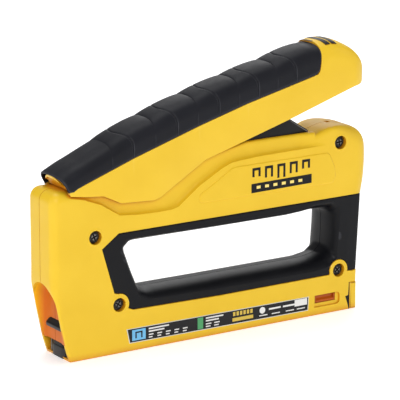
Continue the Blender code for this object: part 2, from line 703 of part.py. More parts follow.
def pusher_spring():
    ends = (PUSHER_X[1] - 0.2, SPRING_END_X - 0.4)
    coil = helix("pusher_spring", *ends, "x", (0.0, ROD_Z), 2.1, 0.35, 24, 8, 5)
    return finish(coil, "spring_steel", (RAIL_X[0], ROD_Z))


def magazine_end_cap():
    """Yellow block that closes the magazine and is pulled to open it."""
    outline = [(MAGAZINE_END_X, 0.0), (CAP_END_X, 0.0), (CAP_END_X, CAP_TOP_Z), (MAGAZINE_END_X, CAP_TOP_Z)]
    cap = prism("magazine_end_cap", outline, -HALF_WIDTH + 0.2, HALF_WIDTH - 0.2)
    join(cap, block("plug", (158.6, MAGAZINE_END_X + 0.5), (-6.8, 6.8), (RAIL_Z[1] + GAP, 14.6)))
    inner = RAIL_HALF_WIDTH - 1.0 - GAP
    key_z = (RAIL_Z[0] + 0.2, RAIL_Z[1] - 1.0 - GAP)
    join(cap, block("key", (SPRING_END_X + GAP, MAGAZINE_END_X + 0.5), (-inner, inner), key_z))
    cut(cap, bar_along_x("rod_hole", (160.0, CAP_END_X - 2.0), ROD_Z, ROD_RADIUS + GAP))
    return finish(cap, "yellow_plastic", (MAGAZINE_END_X, 0.0))


def magazine_latch(name, side):
    """Side button that is pressed in to free the magazine."""
    outline = [(LATCH_X[0], LATCH_Z[0]), (LATCH_X[1], LATCH_Z[0]), (LATCH_X[1], LATCH_Z[1]),
               (LATCH_X[0], LATCH_Z[1])]
    latch = rounded_prism(name, outline, side * 10.3, side * 12.6, 0.6, 2)
    join(latch, block("foot", (158.4, 176.8), (side * 10.2, side * 11.1), (4.4, 12.6)))
    return finish(latch, "amber_plastic", (LATCH_X[0], LATCH_Z[0]))


def latch_spring(name, side):
    """Bow spring that pushes a latch button out."""
    z0, z1 = 6.4, 10.4
    rings = []
    steps = 10
    for i in range(steps + 1):
        share = i / steps
        x = 160.0 + 14.4 * share
        y = 8.7 + 1.0 * math.sin(math.pi * share)
        rings.append([place(x, side * a, z) for a, z in ((y, z0), (y + 0.3, z0), (y + 0.3, z1), (y, z1))])
    return finish(loft(name, rings), "spring_steel")


def build_all():
    clear_scene()
    casing_shell("left_shell", -1)
    casing_shell("right_shell", 1)
    window_grip("left_window_grip", -1)
    window_grip("right_window_grip", 1)
    for name, centre in SCREW_PLACES.items():
        casing_screw(name, centre)
    nose_guide()
    striker_block()
    striker_blade()
    lift_pin()
    power_spring()
    spring_seat()
    impact_bumper()
    bumper_plate()
    lever_handle()
    lever_grip()
    lever_pivot_pin()
    push_roller()
    roller_axle()
    inner_lever()
    inner_lever_pin()
    magazine_channel()
    staple_rail()
    staple_pusher()
    pusher_rod()
    pusher_spring()
    magazine_end_cap()
    for side, word in ((-1, "left"), (1, "right")):
        magazine_latch(word + "_magazine_latch", side)
        latch_spring(word + "_latch_spring", side)


build_all()
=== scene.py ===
"""Looks of the staple gun: fine moulded skins, springs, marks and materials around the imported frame.

Lengths are in millimetres in the tool's own side view: X from the lower front corner of the casing towards
the tail, Z up from the flat base, Y across the tool. place() turns them into the frame's metres.
"""
import math

import bmesh
import bpy
import numpy as np
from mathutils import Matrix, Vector, kdtree
from mathutils.geometry import delaunay_2d_cdt


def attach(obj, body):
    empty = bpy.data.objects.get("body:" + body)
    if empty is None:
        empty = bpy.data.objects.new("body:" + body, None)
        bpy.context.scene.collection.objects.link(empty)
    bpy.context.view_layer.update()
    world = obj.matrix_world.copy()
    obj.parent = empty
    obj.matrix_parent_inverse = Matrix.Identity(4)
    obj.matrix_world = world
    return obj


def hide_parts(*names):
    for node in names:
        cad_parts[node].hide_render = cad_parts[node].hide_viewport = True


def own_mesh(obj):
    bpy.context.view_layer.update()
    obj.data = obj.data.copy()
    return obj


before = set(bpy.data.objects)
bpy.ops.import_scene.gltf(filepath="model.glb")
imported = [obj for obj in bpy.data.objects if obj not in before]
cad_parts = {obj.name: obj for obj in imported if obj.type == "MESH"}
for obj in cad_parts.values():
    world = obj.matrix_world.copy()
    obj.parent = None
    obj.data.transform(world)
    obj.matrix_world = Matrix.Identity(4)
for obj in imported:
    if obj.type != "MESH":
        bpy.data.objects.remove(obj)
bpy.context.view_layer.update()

MM = 0.001
ORIGIN_X = 92.9               # side-view X of the frame's origin
HALF_WIDTH = 13.5
TAIL_X = 196.3
MID_GAP = 0.2                 # half the seam between the two shells
FINE = 0.15                   # seam between neighbouring mouldings
NOSE_X = -10.5
CAP_X = 183.3
CAP_END_X = 188.3
CAP_TOP_Z = 15.9
LEVER_PIVOT = (43.0, 88.0)
ROLLER_CENTRE = (134.0, 128.2)
SCREWS = {
    "casing_screw_front_upper": (16.0, 67.2),
    "casing_screw_front_lower": (30.6, 27.5),
    "casing_screw_rear_upper": (175.9, 98.8),
    "casing_screw_rear_lower": (175.7, 24.4),
}
COUNTERBORE = 3.9
NOSE_ROUND = 5.0
REAR_ROUND = 8.0
MOUTH_TOP_Z = 43.2
MOUTH_SPRING_Z = 32.0         # where the mouth's upright sides meet its arch
MOUTH_HALF = 11.9

GROOVES = (40.0, 67.7, 94.5, 120.3, 145.2)             # cross grooves of the grip
VALLEYS = (27.0, 54.0, 81.0, 107.8, 133.0, 158.0)      # dips between the grip's waves
LEVER_FRONT_X = -4.6
GRIP_END_X = 161.8
GRIP_THICKNESS = 2.9
LEVER_WALL = 2.2
CHAMFER_MIDDLE = 0.29         # share of a corner's size that its middle point is set in

CAMERA_PLACE = (-0.78627, -1.22160, 0.45457)
CAMERA_AZIMUTH = -32.7
CAMERA_ELEVATION = 14.67
CAMERA_LENS = 245.2


# ---------------------------------------------------------------- small geometry helpers

def place(x, y, z):
    return ((x - ORIGIN_X) * MM, y * MM, z * MM)


def arc(centre, radius, start, end, steps):
    """Points on a circle in side view; the angles are in degrees."""
    angles = [math.radians(start + (end - start) * i / steps) for i in range(steps + 1)]
    return [(centre[0] + radius * math.cos(a), centre[1] + radius * math.sin(a)) for a in angles]


def circle(centre, radius, sides):
    return arc(centre, radius, 0, 360 * (1 - 1 / sides), sides - 1)


def smooth(value):
    """Eases from 0 to 1 as the value goes from 0 to 1."""
    value = np.clip(value, 0.0, 1.0)
    return value * value * (3 - 2 * value)


def resample(points, step, closed=False):
    """Points along a polyline, keeping its corners, no further apart than step."""
    ends = points[1:] + points[:1] if closed else points[1:]
    result = []
    for a, b in zip(points, ends):
        length = math.dist(a, b)
        count = max(1, math.ceil(length / step))
        step_x, step_z = (b[0] - a[0]) / count, (b[1] - a[1]) / count
        result += [(a[0] + step_x * i, a[1] + step_z * i) for i in range(count)]
    if not closed:
        result.append(points[-1])
    return result


def distance(points, line, closed=False):
    """Shortest distance from each point to a polyline."""
    corners = np.array(line, float)
    if closed:
        corners = np.vstack([corners, corners[:1]])
    best = np.full(len(points), 1e9)
    for a, b in zip(corners[:-1], corners[1:]):
        along = b - a
        size = max(float(along @ along), 1e-12)
        share = np.clip(((points - a) @ along) / size, 0.0, 1.0)
        best = np.minimum(best, np.hypot(*(points - a - share[:, None] * along).T))
    return best


def inside(points, outline):
    """Whether each point lies inside a closed outline."""
    x, z = points[:, 0], points[:, 1]
    result = np.zeros(len(points), bool)
    corners = np.array(outline, float)
    for (x0, z0), (x1, z1) in zip(corners, np.roll(corners, -1, axis=0)):
        if z0 == z1:
            continue
        crossing = (z0 > z) != (z1 > z)
        result ^= crossing & (x < (x1 - x0) * (z - z0) / (z1 - z0) + x0)
    return result


def offset(line, reach, closed=False):
    """Polyline moved sideways, to the left of its direction, by reach."""
    count = len(line)
    moved = []
    for i, point in enumerate(line):
        before = line[i - 1] if (closed or i > 0) else line[i]
        after = line[(i + 1) % count] if (closed or i < count - 1) else line[i]
        direction = Vector((after[0] - before[0], after[1] - before[1]))
        if direction.length < 1e-9:
            moved.append(point)
            continue
        direction.normalize()
        moved.append((point[0] - direction.y * reach, point[1] + direction.x * reach))
    return moved


def turning(outline):
    """1 for an anticlockwise outline, whose left is its inside, and -1 for a clockwise one."""
    area = sum(a[0] * b[1] - b[0] * a[1] for a, b in zip(outline, outline[1:] + outline[:1]))
    return 1.0 if area > 0 else -1.0


def tidy_points(groups, keep_apart):
    """Joins groups of points, most wanted first, leaving out points that crowd an earlier one."""
    total = sum(len(group) for group in groups)
    kept = []
    tree = None
    for group, room in zip(groups, keep_apart):
        fresh = []
        for point in group:
            if tree is None or tree.find((point[0], point[1], 0.0))[2] > room:
                fresh.append(point)
        kept += fresh
        tree = kdtree.KDTree(total)
        for i, point in enumerate(kept):
            tree.insert((point[0], point[1], 0.0), i)
        tree.balance()
    return kept


def add_mesh(name, verts, faces):
    mesh = bpy.data.meshes.new(name)
    mesh.from_pydata(verts, [], faces)
    mesh.validate()
    item = bpy.data.objects.new(name, mesh)
    bpy.context.scene.collection.objects.link(item)
    return item


def face_outward(item):
    bm = bmesh.new()
    bm.from_mesh(item.data)
    bmesh.ops.recalc_face_normals(bm, faces=bm.faces)
    bm.to_mesh(item.data)
    bm.free()
    return item


def soften(item, angle=34.0):
    item.data.shade_smooth()
    item.data.set_sharp_from_angle(angle=math.radians(angle))
    return item


def loft(name, rings, outer=0):
    """Solid through equal-length rings of world points.

    outer is the number of points on the outside of a C-shaped section, whose ends are then covered by a
    strip between its outer and its inner line.
    """
    size = len(rings[0])
    verts = [point for ring in rings for point in ring]
    faces = []
    for low in range(0, (len(rings) - 1) * size, size):
        high = low + size
        for i in range(size):
            j = (i + 1) % size
            faces.append((low + i, low + j, high + j, high + i))
    if outer:
        for first in (0, (len(rings) - 1) * size):
            strip = [(0, 1, 2, size - 1), (outer - 3, outer - 2, outer - 1, outer)]
            strip += [(k + 2, k + 3, size - 2 - k, size - 1 - k) for k in range(outer - 5)]
            faces += [tuple(first + i for i in face) for face in strip]
    else:
        faces.append(tuple(range(size))[::-1])
        faces.append(tuple(range((len(rings) - 1) * size, len(rings) * size)))
    return face_outward(add_mesh(name, verts, faces))


def prism(name, outline, y_start, y_end):
    return loft(name, [[place(x, y, z) for x, z in outline] for y in (y_start, y_end)])


def disc(name, centre, radius, y_start, y_end, sides=48):
    return prism(name, circle(centre, radius, sides), y_start, y_end)


def block(name, x_range, y_range, z_range):
    (x0, x1), (z0, z1) = x_range, z_range
    return prism(name, [(x0, z0), (x1, z0), (x1, z1), (x0, z1)], *y_range)


def combine(item, other, operation):
    """Boolean of two closed meshes; the second one is used up."""
    modifier = item.modifiers.new("combine", "BOOLEAN")
    modifier.operation = operation
    modifier.solver = "MANIFOLD"
    modifier.object = other
    bpy.context.view_layer.update()
    evaluated = item.evaluated_get(bpy.context.evaluated_depsgraph_get())
    mesh = bpy.data.meshes.new_from_object(evaluated)
    item.modifiers.clear()
    item.data = mesh
    bpy.data.objects.remove(other)
    return item


def cut(item, *cutters):
    for cutter in cutters:
        combine(item, cutter, "DIFFERENCE")
    return item


def join(item, *others):
    for other in others:
        combine(item, other, "UNION")
    return item


def slab(name, outline, height, side, feature_lines=(), spacing=1.1, edge_step=0.7):
    """Closed half shell: a flat face on the seam, and an outer face whose half width is height(points)."""
    edge = resample(outline, edge_step, closed=True)
    inward = turning(edge)
    rings = []
    for reach in (0.12, 0.35, 0.7, 1.2, 1.9, 2.8, 3.8, 5.0, 6.3):
        ring = np.array(offset(edge, inward * reach, closed=True))
        good = inside(ring, edge) & (distance(ring, edge, closed=True) > reach * 0.93)
        rings += [tuple(point) for point in ring[good]]
    low, high = np.min(edge, axis=0), np.max(edge, axis=0)
    columns, rows = (np.arange(low[axis], high[axis], spacing) for axis in (0, 1))
    grid_x, grid_z = np.meshgrid(columns, rows)
    grid = np.column_stack([grid_x.ravel(), grid_z.ravel()])
    grid = [tuple(point) for point in grid[inside(grid, edge)]]
    features = [point for line in feature_lines for point in line]
    if features:
        spots = np.array(features)
        good = inside(spots, edge) & (distance(spots, edge, closed=True) > 0.1)
        features = [tuple(point) for point in spots[good]]
    points = tidy_points([edge, features, rings, grid], [0.0, 0.08, 0.1, 0.5 * spacing])
    edges = [(i, (i + 1) % len(edge)) for i in range(len(edge))]
    placed, _, faces, *_ = delaunay_2d_cdt([Vector(point) for point in points], edges, [], 1, 1e-7)
    spots = np.array([(p.x, p.y) for p in placed])
    outer = side * height(spots)
    verts = [place(x, y, z) for (x, z), y in zip(spots, outer)]
    count = len(verts)
    rim = list(range(len(edge)))
    verts += [place(*(spots[i][0], side * MID_GAP, spots[i][1])) for i in rim]
    polygons = [tuple(face) for face in faces]
    polygons += [(i, (i + 1) % len(edge), count + (i + 1) % len(edge), count + i) for i in rim]
    polygons.append(tuple(count + i for i in rim))
    return face_outward(add_mesh(name, verts, polygons))


def rounded(base, depth, radius):
    """Half width at a distance depth inside an edge with a round of that radius."""
    reach = np.clip(radius - depth, 0.0, radius)
    return base - radius + np.sqrt(np.maximum(radius * radius - reach * reach, 0.0))


def interpolate(line, x):
    """Height of a side-view line at x."""
    xs, zs = zip(*line)
    return np.interp(x, xs, zs)


# ---------------------------------------------------------------- side-view lines of the tool

def window_outline():
    """Edge of the black insert, anticlockwise from its lower rear corner to its upper rear corner."""
    points = [(190.9, 67.5), (30.6, 67.5), (20.1, 60.1), (27.6, 34.4)]
    points += arc(SCREWS["casing_screw_front_lower"], 6.2, 96, -26, 14)
    points += [(39.5, 23.4), (95.0, 22.4), (169.2, 22.5)]
    points += arc(SCREWS["casing_screw_rear_lower"], 6.2, 192, -12, 18)
    points += [(185.0, 22.7), (188.5, 23.0)]
    return points


def casing_edges():
    """Runs of the casing's outline, each with the radius of its rounded edge."""
    return [
        (0.7, [(0.0, 0.0), (CAP_X - FINE, 0.0)]),
        (0.3, [(CAP_X - FINE, 0.0), (182.7, 2.4), (180.8, 8.0), (CAP_X - 0.5, 8.5),
               (CAP_X - FINE, CAP_TOP_Z + FINE)]),
        (0.3, [(CAP_X - FINE, CAP_TOP_Z + FINE), (CAP_END_X, CAP_TOP_Z + FINE)]),
        (1.6, [(CAP_END_X, CAP_TOP_Z + FINE), (188.5, 23.0)]),
        (0.4, window_outline()[::-1]),
        (0.4, [(190.9, 67.5), (194.0, 67.5)]),
        (REAR_ROUND, rear_line()),
        (1.6, [(160.2, 105.2), (159.6, 106.4), (114.0, 106.6), (90.0, 103.0), (60.0, 96.0), (25.0, 94.2),
               (12.0, 94.2)]),
        (NOSE_ROUND, [(12.0, 94.2)] + arc((-4.5, 88.2), 6.0, 90, 180, 10) + nose_line()),
    ]


def rear_line():
    """Back of the casing from the insert's top up and over the hump."""
    return spline([(194.0, 67.5), (195.8, 78.0), (TAIL_X, 91.0), (195.2, 98.4), (191.9, 103.2),
                   (186.9, 106.1), (181.0, 107.8), (174.0, 108.4), (167.0, 107.6), (160.2, 105.2)], 6)


def nose_line():
    """Front of the nose from the top down: upright, then drawn back to the foot."""
    return spline([(NOSE_X, 56.0), (NOSE_X, 51.0), (NOSE_X, 46.0), (-10.1, 41.0), (-9.0, 36.6), (-7.6, 31.5),
                   (-6.3, 25.5), (-4.8, 18.4), (-2.6, 8.4), (0.0, 0.0)], 5)


def nose_round(z):
    """Radius of the nose's upright edges, which sharpen towards the foot."""
    return 1.0 + (NOSE_ROUND - 1.0) * smooth((z - 24.0) / 26.0)


def casing_outline():
    points = []
    for _, line in casing_edges():
        points += line[:-1]
    return points


def shoulder_line():
    """Lower border of the narrowed upper part of the casing."""
    return [(-2.5, 91.5), (9.0, 89.0), (20.0, 84.6), (31.3, 77.3), (42.0, 76.2), (56.5, 75.7), (64.0, 75.9),
            (68.5, 77.0), (82.5, 87.0), (97.0, 94.7), (102.8, 96.8), (109.0, 97.4), (121.5, 98.1),
            (175.0, 98.6)]


def panel_outline():
    """Raised panel behind the shoulder, on each side."""
    return [(83.1, 76.8), (169.6, 76.1), (171.2, 76.6), (172.7, 79.6), (172.2, 85.4), (168.6, 93.0),
            (166.6, 94.3), (104.8, 94.4), (102.4, 93.6), (82.0, 81.6), (81.6, 78.0)]


def lip_rings():
    """Circles of mesh points round the screw holes, for the raised lips."""
    radii = (4.1, 4.4, 4.7, 5.0, 5.3, 5.7)
    return [circle(centre, radius, 72) for centre in SCREWS.values() for radius in radii]


def casing_height(points):
    """Half width of the casing over the side view."""
    x, z = points[:, 0], points[:, 1]
    height = np.full(len(points), HALF_WIDTH)
    changing = {NOSE_ROUND: nose_round(z), REAR_ROUND: 2.4 + (REAR_ROUND - 2.4) * smooth((x - 170.0) / 18.0)}
    for radius, line in casing_edges():
        edge = rounded(HALF_WIDTH, distance(points, line), changing.get(radius, radius))
        height = np.minimum(height, edge)
    above = np.maximum(z - interpolate(shoulder_line(), x), 0.0)
    fade = smooth((x + 2.5) / 6.0) * (1 - smooth((x - 145.0) / 24.0))
    height -= fade * (2.45 * (1 - np.exp(-above / 0.75)) + 0.06 * above)
    depth = distance(points, panel_outline(), closed=True)
    height += 0.45 * np.where(inside(points, panel_outline()), smooth(depth / 0.55), 0.0)
    window_lip = distance(points, window_outline()) / 0.55
    height += 0.16 * np.exp(-window_lip ** 2)
    for centre in SCREWS.values():
        reach = np.hypot(x - centre[0], z - centre[1])
        height += 0.22 * smooth(1 - np.abs(reach - 4.5) / 0.75)
    return height


def casing_features():
    """Lines that the casing's mesh follows: the shoulder, the panel's border and the lips."""
    shoulder = resample(shoulder_line(), 0.7)
    lines = [offset(shoulder, reach) for reach in (-0.25, 0.0, 0.25, 0.55, 0.95, 1.5, 2.2, 3.0)]
    panel = resample(panel_outline(), 0.7, closed=True)
    lines += [offset(panel, reach, closed=True) for reach in (-0.15, 0.0, 0.2, 0.4, 0.6, 0.8, 1.0)]
    return lines + lip_rings()


def casing_cavities(side):
    """Hollows of a shell: the mechanism beam, the striker bay and the magazine."""
    deep, narrow, shallow = 11.3, 8.9, 8.0
    beam = [(24.0, 71.6), (188.5, 71.6), (190.0, 86.0), (186.0, 96.0), (176.0, 101.6), (162.0, 101.6),
            (113.0, 104.2), (90.0, 100.8), (60.0, 93.8), (24.0, 92.0)]
    low_beam = [(24.0, 71.6), (184.5, 71.6), (185.6, 84.0), (183.0, 90.0), (100.0, 91.0), (84.0, 83.0),
                (69.0, 73.6), (24.0, 73.6)]
    bay = [(-8.2, 8.0), (22.0, 8.0), (23.6, 24.0), (23.4, 33.5), (17.0, 58.0), (17.0, 71.8), (24.2, 74.0),
           (14.0, 80.0), (-8.2, 84.0)]
    bay_top = [(-8.2, 60.0), (25.0, 71.8), (25.0, 92.0), (-4.8, 92.0), (-8.2, 88.0)]
    magazine = [(-8.0, 1.4), (CAP_X + 1.0, 1.4), (CAP_X + 1.0, 15.2), (178.0, 19.4), (20.0, 19.4),
                (-8.0, 19.4)]
    hollows = ((beam, narrow), (low_beam, deep), (bay, deep), (bay_top, shallow), (magazine, deep))
    return [prism("cavity", outline, -side, side * half) for outline, half in hollows]


def mouth_section(side, half, top_z):
    """Front view of the mouth's half arch, as (y, z), from below the foot up."""
    points = [(-side, -1.0), (side * half, -1.0)]
    for y, z in arc((0.0, 0.0), 1.0, 0, 90, 24):
        points.append((side * half * y, MOUTH_SPRING_Z + (top_z - MOUTH_SPRING_Z) * z))
    return points + [(-side, top_z)]


def nose_mouth(side):
    """Arched pocket across the foot of the nose, with a smoothly rounded back."""
    closing = ((-16.0, 1.0), (-9.0, 1.0), (-7.4, 1.0), (-6.0, 0.985), (-4.8, 0.96), (-3.8, 0.92),
               (-3.1, 0.86), (-2.6, 0.79), (-2.2, 0.70), (-1.9, 0.58), (-1.75, 0.4))
    rings = []
    for x, share in closing:
        section = mouth_section(side, MOUTH_HALF * share, MOUTH_TOP_Z - 8.0 * (1 - share))
        rings.append([place(x, y, z) for y, z in section])
    return loft("mouth", rings)


def mouth_lining(side):
    """Block behind the front wall that the pocket is cut into."""
    front = [(x + 0.1 + 0.4 * nose_round(z), z) for x, z in nose_line() if 10.0 < z < 44.0]
    outline = [(front[0][0], 44.6)] + front + [(front[-1][0], 9.6), (-0.9, 9.6), (-0.9, 44.6)]
    return prism("lining", outline, side * MID_GAP, side * 12.4)


def casing_shell(name, side):
    shell = slab(name, casing_outline(), casing_height, side, casing_features())
    cut(shell, *casing_cavities(side))
    join(shell, mouth_lining(side))
    cut(shell, nose_mouth(side))
    slot = [(109.0, 98.0), (159.0, 98.0), (160.2, 105.2), (157.6, 113.0), (109.0, 113.0)]
    cut(shell, prism("slot", slot, -side, side * 8.7))
    for centre in SCREWS.values():
        cut(shell, disc("bore", centre, COUNTERBORE, side * 8.9, side * (HALF_WIDTH + 1.0)))
    recess = [(159.2, 4.7)] + arc((174.4, 6.9), 2.2, -90, 0, 8)
    recess += arc((174.4, 9.6), 2.2, 0, 90, 8) + [(159.2, 11.8)]
    clear = side * (HALF_WIDTH + 1.0)
    cut(shell, prism("latch_recess", recess, side * (HALF_WIDTH - 0.9), clear))
    cut(shell, block("latch_window", (160.0, 174.0), (side * 9.0, clear), (6.9, 11.6)))
    dimple = [(174.2, 106.6), (177.4, 106.4), (176.6, 112.0), (174.8, 112.0)]
    cut(shell, prism("dimple", dimple, -side, side * 1.7))
    return soften(shell)


# ---------------------------------------------------------------- black inserts of the hand window

def hand_window_rings():
    """Edge of the hand window at the side face and at the middle of the tool, as matching outlines."""
    side = [(35.6, 64.2), (95.0, 62.9), (140.0, 62.5), (152.0, 63.6), (160.0, 65.4), (172.0, 65.0),
            (176.4, 62.0), (175.6, 46.0), (174.3, 30.5), (168.0, 27.2), (158.0, 26.2), (95.0, 26.6),
            (49.0, 27.7), (42.7, 30.2), (37.2, 43.9), (31.8, 59.6)]
    middle = [(41.5, 60.3), (95.0, 60.3), (140.0, 60.3), (150.0, 60.3), (157.0, 60.4), (168.4, 60.4),
              (172.0, 57.4), (172.2, 46.0), (171.6, 37.4), (167.6, 33.4), (158.0, 31.8), (95.0, 31.8),
              (52.0, 31.8), (46.0, 33.8), (41.0, 45.5), (36.5, 57.0)]
    return side, middle


def spline(points, steps):
    """Catmull-Rom curve through the points."""
    result = []
    for i in range(len(points) - 1):
        p0, p1, p2 = points[max(i - 1, 0)], points[i], points[i + 1]
        p3 = points[min(i + 2, len(points) - 1)]
        for k in range(steps):
            t = k / steps
            weights = (-t + 2 * t * t - t ** 3, 2 - 5 * t * t + 3 * t ** 3,
                       t + 4 * t * t - 3 * t ** 3, t ** 3 - t * t)
            result.append(tuple(0.5 * sum(w * value for w, value in zip(weights, values))
                                for values in zip(p0, p1, p2, p3)))
    return result + [tuple(points[-1])]


def window_scoop(side):
    """Cutter for the hand window: its edge rolls inwards towards the middle of the tool."""
    edge, middle = [corner_rounded(ring) for ring in hand_window_rings()]
    face = HALF_WIDTH - 0.1
    rings = []
    for flare, lift in ((0.875, 2.0), (0.35, 0.8)):
        rings.append([place(x, side * (face + lift), z) for x, z in offset(edge, flare, closed=True)])
    for angle in (0, 6, 12, 20, 30, 40, 50, 60, 70, 80, 90):
        turn = math.radians(angle)
        share = math.sin(turn) ** 1.3
        y = face * math.cos(turn) ** 0.85
        ring = [(a[0] + (b[0] - a[0]) * share, a[1] + (b[1] - a[1]) * share) for a, b in zip(edge, middle)]
        rings.append([place(x, side * y, z) for x, z in ring])
    rings.append([place(x, -side, z) for x, z in middle])
    return loft("scoop", rings)


def corner_rounded(outline, share=0.22, longest=4.0):
    """Replaces each corner of a closed outline by a short quadratic curve."""
    result = []
    for before, point, after in zip(outline[-1:] + outline[:-1], outline, outline[1:] + outline[:1]):
        here = Vector(point)
        back, ahead = Vector(before) - here, Vector(after) - here
        start = here + back.normalized() * min(longest, share * back.length)
        end = here + ahead.normalized() * min(longest, share * ahead.length)
        for k in range(7):
            t = k / 6
            result.append(tuple(start * (1 - t) ** 2 + here * 2 * t * (1 - t) + end * t * t))
    return result


def insert_height(points):
    """Half width of the insert: a round along its outer edge and a soft crease down its rear."""
    depth = distance(points, window_outline())
    rear = distance(points, [(188.5, 23.0), (190.9, 67.5)])
    height = np.minimum(rounded(HALF_WIDTH - 0.05, depth, 0.8), rounded(HALF_WIDTH - 0.05, rear, 1.4))
    behind = points[:, 0] - (180.2 + (points[:, 1] - 24.9) * 4.2 / 42.3)
    return height - 0.06 * np.maximum(behind, 0.0)


def window_insert(name, side):
    crease = resample([(180.2, 24.9), (184.4, 67.2)], 0.7)
    insert = slab(name, offset(window_outline(), FINE), insert_height, side, [crease], spacing=1.4)
    cut(insert, window_scoop(side))
    return soften(insert)


# ---------------------------------------------------------------- squeeze lever

def lever_low(x):
    """Lower edge of the lever."""
    line = [(LEVER_FRONT_X, 91.6), (1.8, 91.0), (21.6, 89.1), (32.6, 83.7), (53.5, 82.5), (57.2, 83.6),
            (85.8, 100.5), (111.5, 107.7), (143.4, 116.8), (185.7, 129.9), (TAIL_X, 131.2)]
    return float(interpolate(line, x))


def grip_base(x):
    """Lower edge of the rubber grip."""
    line = [(0.1, 93.6), (40.0, 107.3), (82.2, 120.1), (113.4, 128.6), (157.8, 138.9), (170.0, 141.7),
            (200.0, 148.0)]
    return float(interpolate(line, x))


def crown(x):
    """Height of the ridge of the grip: a bow with a low bump between each pair of valleys."""
    bow = [(-12.0, 98.6), (-4.4, 102.3), (6.7, 107.4), (17.8, 112.3), (27.0, 116.2), (54.0, 126.4),
           (81.0, 134.9), (107.8, 142.2), (133.0, 148.0), (158.0, 154.6), (170.0, 157.2)]
    height = float(interpolate(bow, x))
    for start, end in zip(VALLEYS, VALLEYS[1:]):
        if start < x < end:
            share = (x - start) / (end - start)
            height += 1.4 * (4 * share * (1 - share)) ** 0.62
    return height


def tail_profile():
    """Top of the lever behind the grip, down to the tip of the tail."""
    return spline([(158.0, 154.8), (164.0, 156.6), (170.5, 157.2), (176.0, 156.3), (181.0, 154.2),
                   (186.5, 151.0), (191.0, 146.6), (194.0, 141.4), (195.7, 136.6), (TAIL_X, 133.4)], 6)


def arch(low, top, half, steps=36):
    """Section of the lever as (y, z): upright sides under a broad round arch."""
    upright = low + 0.30 * (top - low)
    points = [(-half, low), (-half, (low + upright) / 2)]
    for i in range(steps + 1):
        angle = math.pi - math.pi * i / steps
        c, s = math.cos(angle), math.sin(angle)
        y = half * math.copysign(abs(c) ** 0.72, c)
        points.append((y, upright + (top - upright) * abs(s) ** 0.72))
    return points + [(half, (low + upright) / 2), (half, low)]


def front_x(z):
    """The front of the lever slants: each height starts at its own X."""
    return LEVER_FRONT_X + (103.0 - z) * 5.0 / 9.4


def slanted(x, y, z):
    """Shears a section near the front of the lever so that its first station lies on the slanted face."""
    blend_end = 10.0
    if x >= blend_end:
        return place(x, y, z)
    share = (x - LEVER_FRONT_X) / (blend_end - LEVER_FRONT_X)
    start = front_x(z)
    return place(start + (blend_end - start) * share, y, z)


def rear_slanted(x, y, z):
    """Shears a section near the rear end of the grip in the same way."""
    blend_start = 150.0
    if x <= blend_start:
        return slanted(x, y, z)
    share = (x - blend_start) / (GRIP_END_X - blend_start)
    return place(blend_start + (rear_x(z) - blend_start) * share, y, z)


def rear_x(z):
    """The rear end of the grip slants too."""
    return 161.4 + (z - 139.0) * 0.115


def rubber(x):
    """Thickness of the rubber, thinner towards the front end."""
    return 1.0 + (GRIP_THICKNESS - 1.0) * float(smooth((x + 1.0) / 6.0))


def spread_out(marks, room, fixed=()):
    """Sorted marks without those that crowd the one before, unless they are fixed."""
    marks = sorted(set(marks))
    kept = marks[:1]
    for mark in marks[1:]:
        if mark - kept[-1] > room or mark in fixed:
            kept.append(mark)
    return kept


def grip_stations():
    """X of the grip's sections, closest at its grooves, dips and ends."""
    fine = [-0.9, -0.6, -0.4, -0.25, -0.12, 0.0, 0.12, 0.25, 0.4, 0.6, 0.9]
    marks = [LEVER_FRONT_X + step for step in (0.0, 0.1, 0.3, 0.6, 1.0)]
    marks += [round(-3.0 + 1.1 * i, 3) for i in range(148)]
    marks += [mark + step for mark in VALLEYS[:-1] for step in fine]
    marks += [mark + 0.9 - 0.2 * i for mark in GROOVES for i in range(38)]
    marks += [GRIP_END_X - step for step in (0.0, 0.1, 0.3, 0.6, 1.0, 1.5)]
    return spread_out([mark for mark in marks if LEVER_FRONT_X <= mark <= GRIP_END_X], 0.09)


def groove_depth(x, y):
    """Depth of the cross grooves, which bow forward over the top of the grip."""
    bow = 5.5 * (1 - min(1.0, (y / HALF_WIDTH) ** 2))
    return sum(0.42 * math.exp(-((x + bow - mark) / 0.34) ** 2) for mark in GROOVES)


def grip_ring(x):
    """Closed C-shaped section of the rubber grip, as world points."""
    base = grip_base(x) + FINE
    corner = 3.4
    into = GRIP_END_X - x
    if into < corner:
        base += corner - math.sqrt(corner * corner - (corner - into) ** 2)
    front_round = 0.7 * (1 - min(1.0, x - LEVER_FRONT_X)) ** 2
    rear_round = 0.5 * (1 - min(1.0, into / 0.8)) ** 2
    shrink = front_round + rear_round
    top = crown(x)
    outer = arch(base, top - shrink, HALF_WIDTH + 0.05 - shrink)
    ridge = sum(0.24 * math.exp(-((x - mark) / 0.28) ** 2) for mark in VALLEYS[:-1])
    ridge += sum(0.30 * math.exp(-((x - mark - 0.55) / 0.28) ** 2) for mark in GROOVES)
    edge = min(0.5, 0.3 * rubber(x))
    middle = base + 0.35 * (top - base)
    points = []
    for y, z in outer:
        share = (z - base) / (top - base)
        on_side = math.exp(-((share - 0.32) / 0.22) ** 2)
        y += math.copysign(ridge * on_side, y)
        depth = groove_depth(x, y) * min(1.0, max(0.0, 3.0 * share))
        reach = math.hypot(y, z - middle)
        points.append((y * (1 - depth / reach), z - (z - middle) * depth / reach))
    half = points[0][0]
    points[0] = (half, base + edge)
    points[-1] = (-half, base + edge)
    points = [(half + edge, base), (half + 0.15, base + 0.15)] + points
    points += [(-half - 0.15, base + 0.15), (-half - edge, base)]
    thick = rubber(x) - FINE
    inner = arch(base, top - thick, HALF_WIDTH - thick)
    points += inner[::-1]
    return [rear_slanted(x, y, z) for y, z in points]


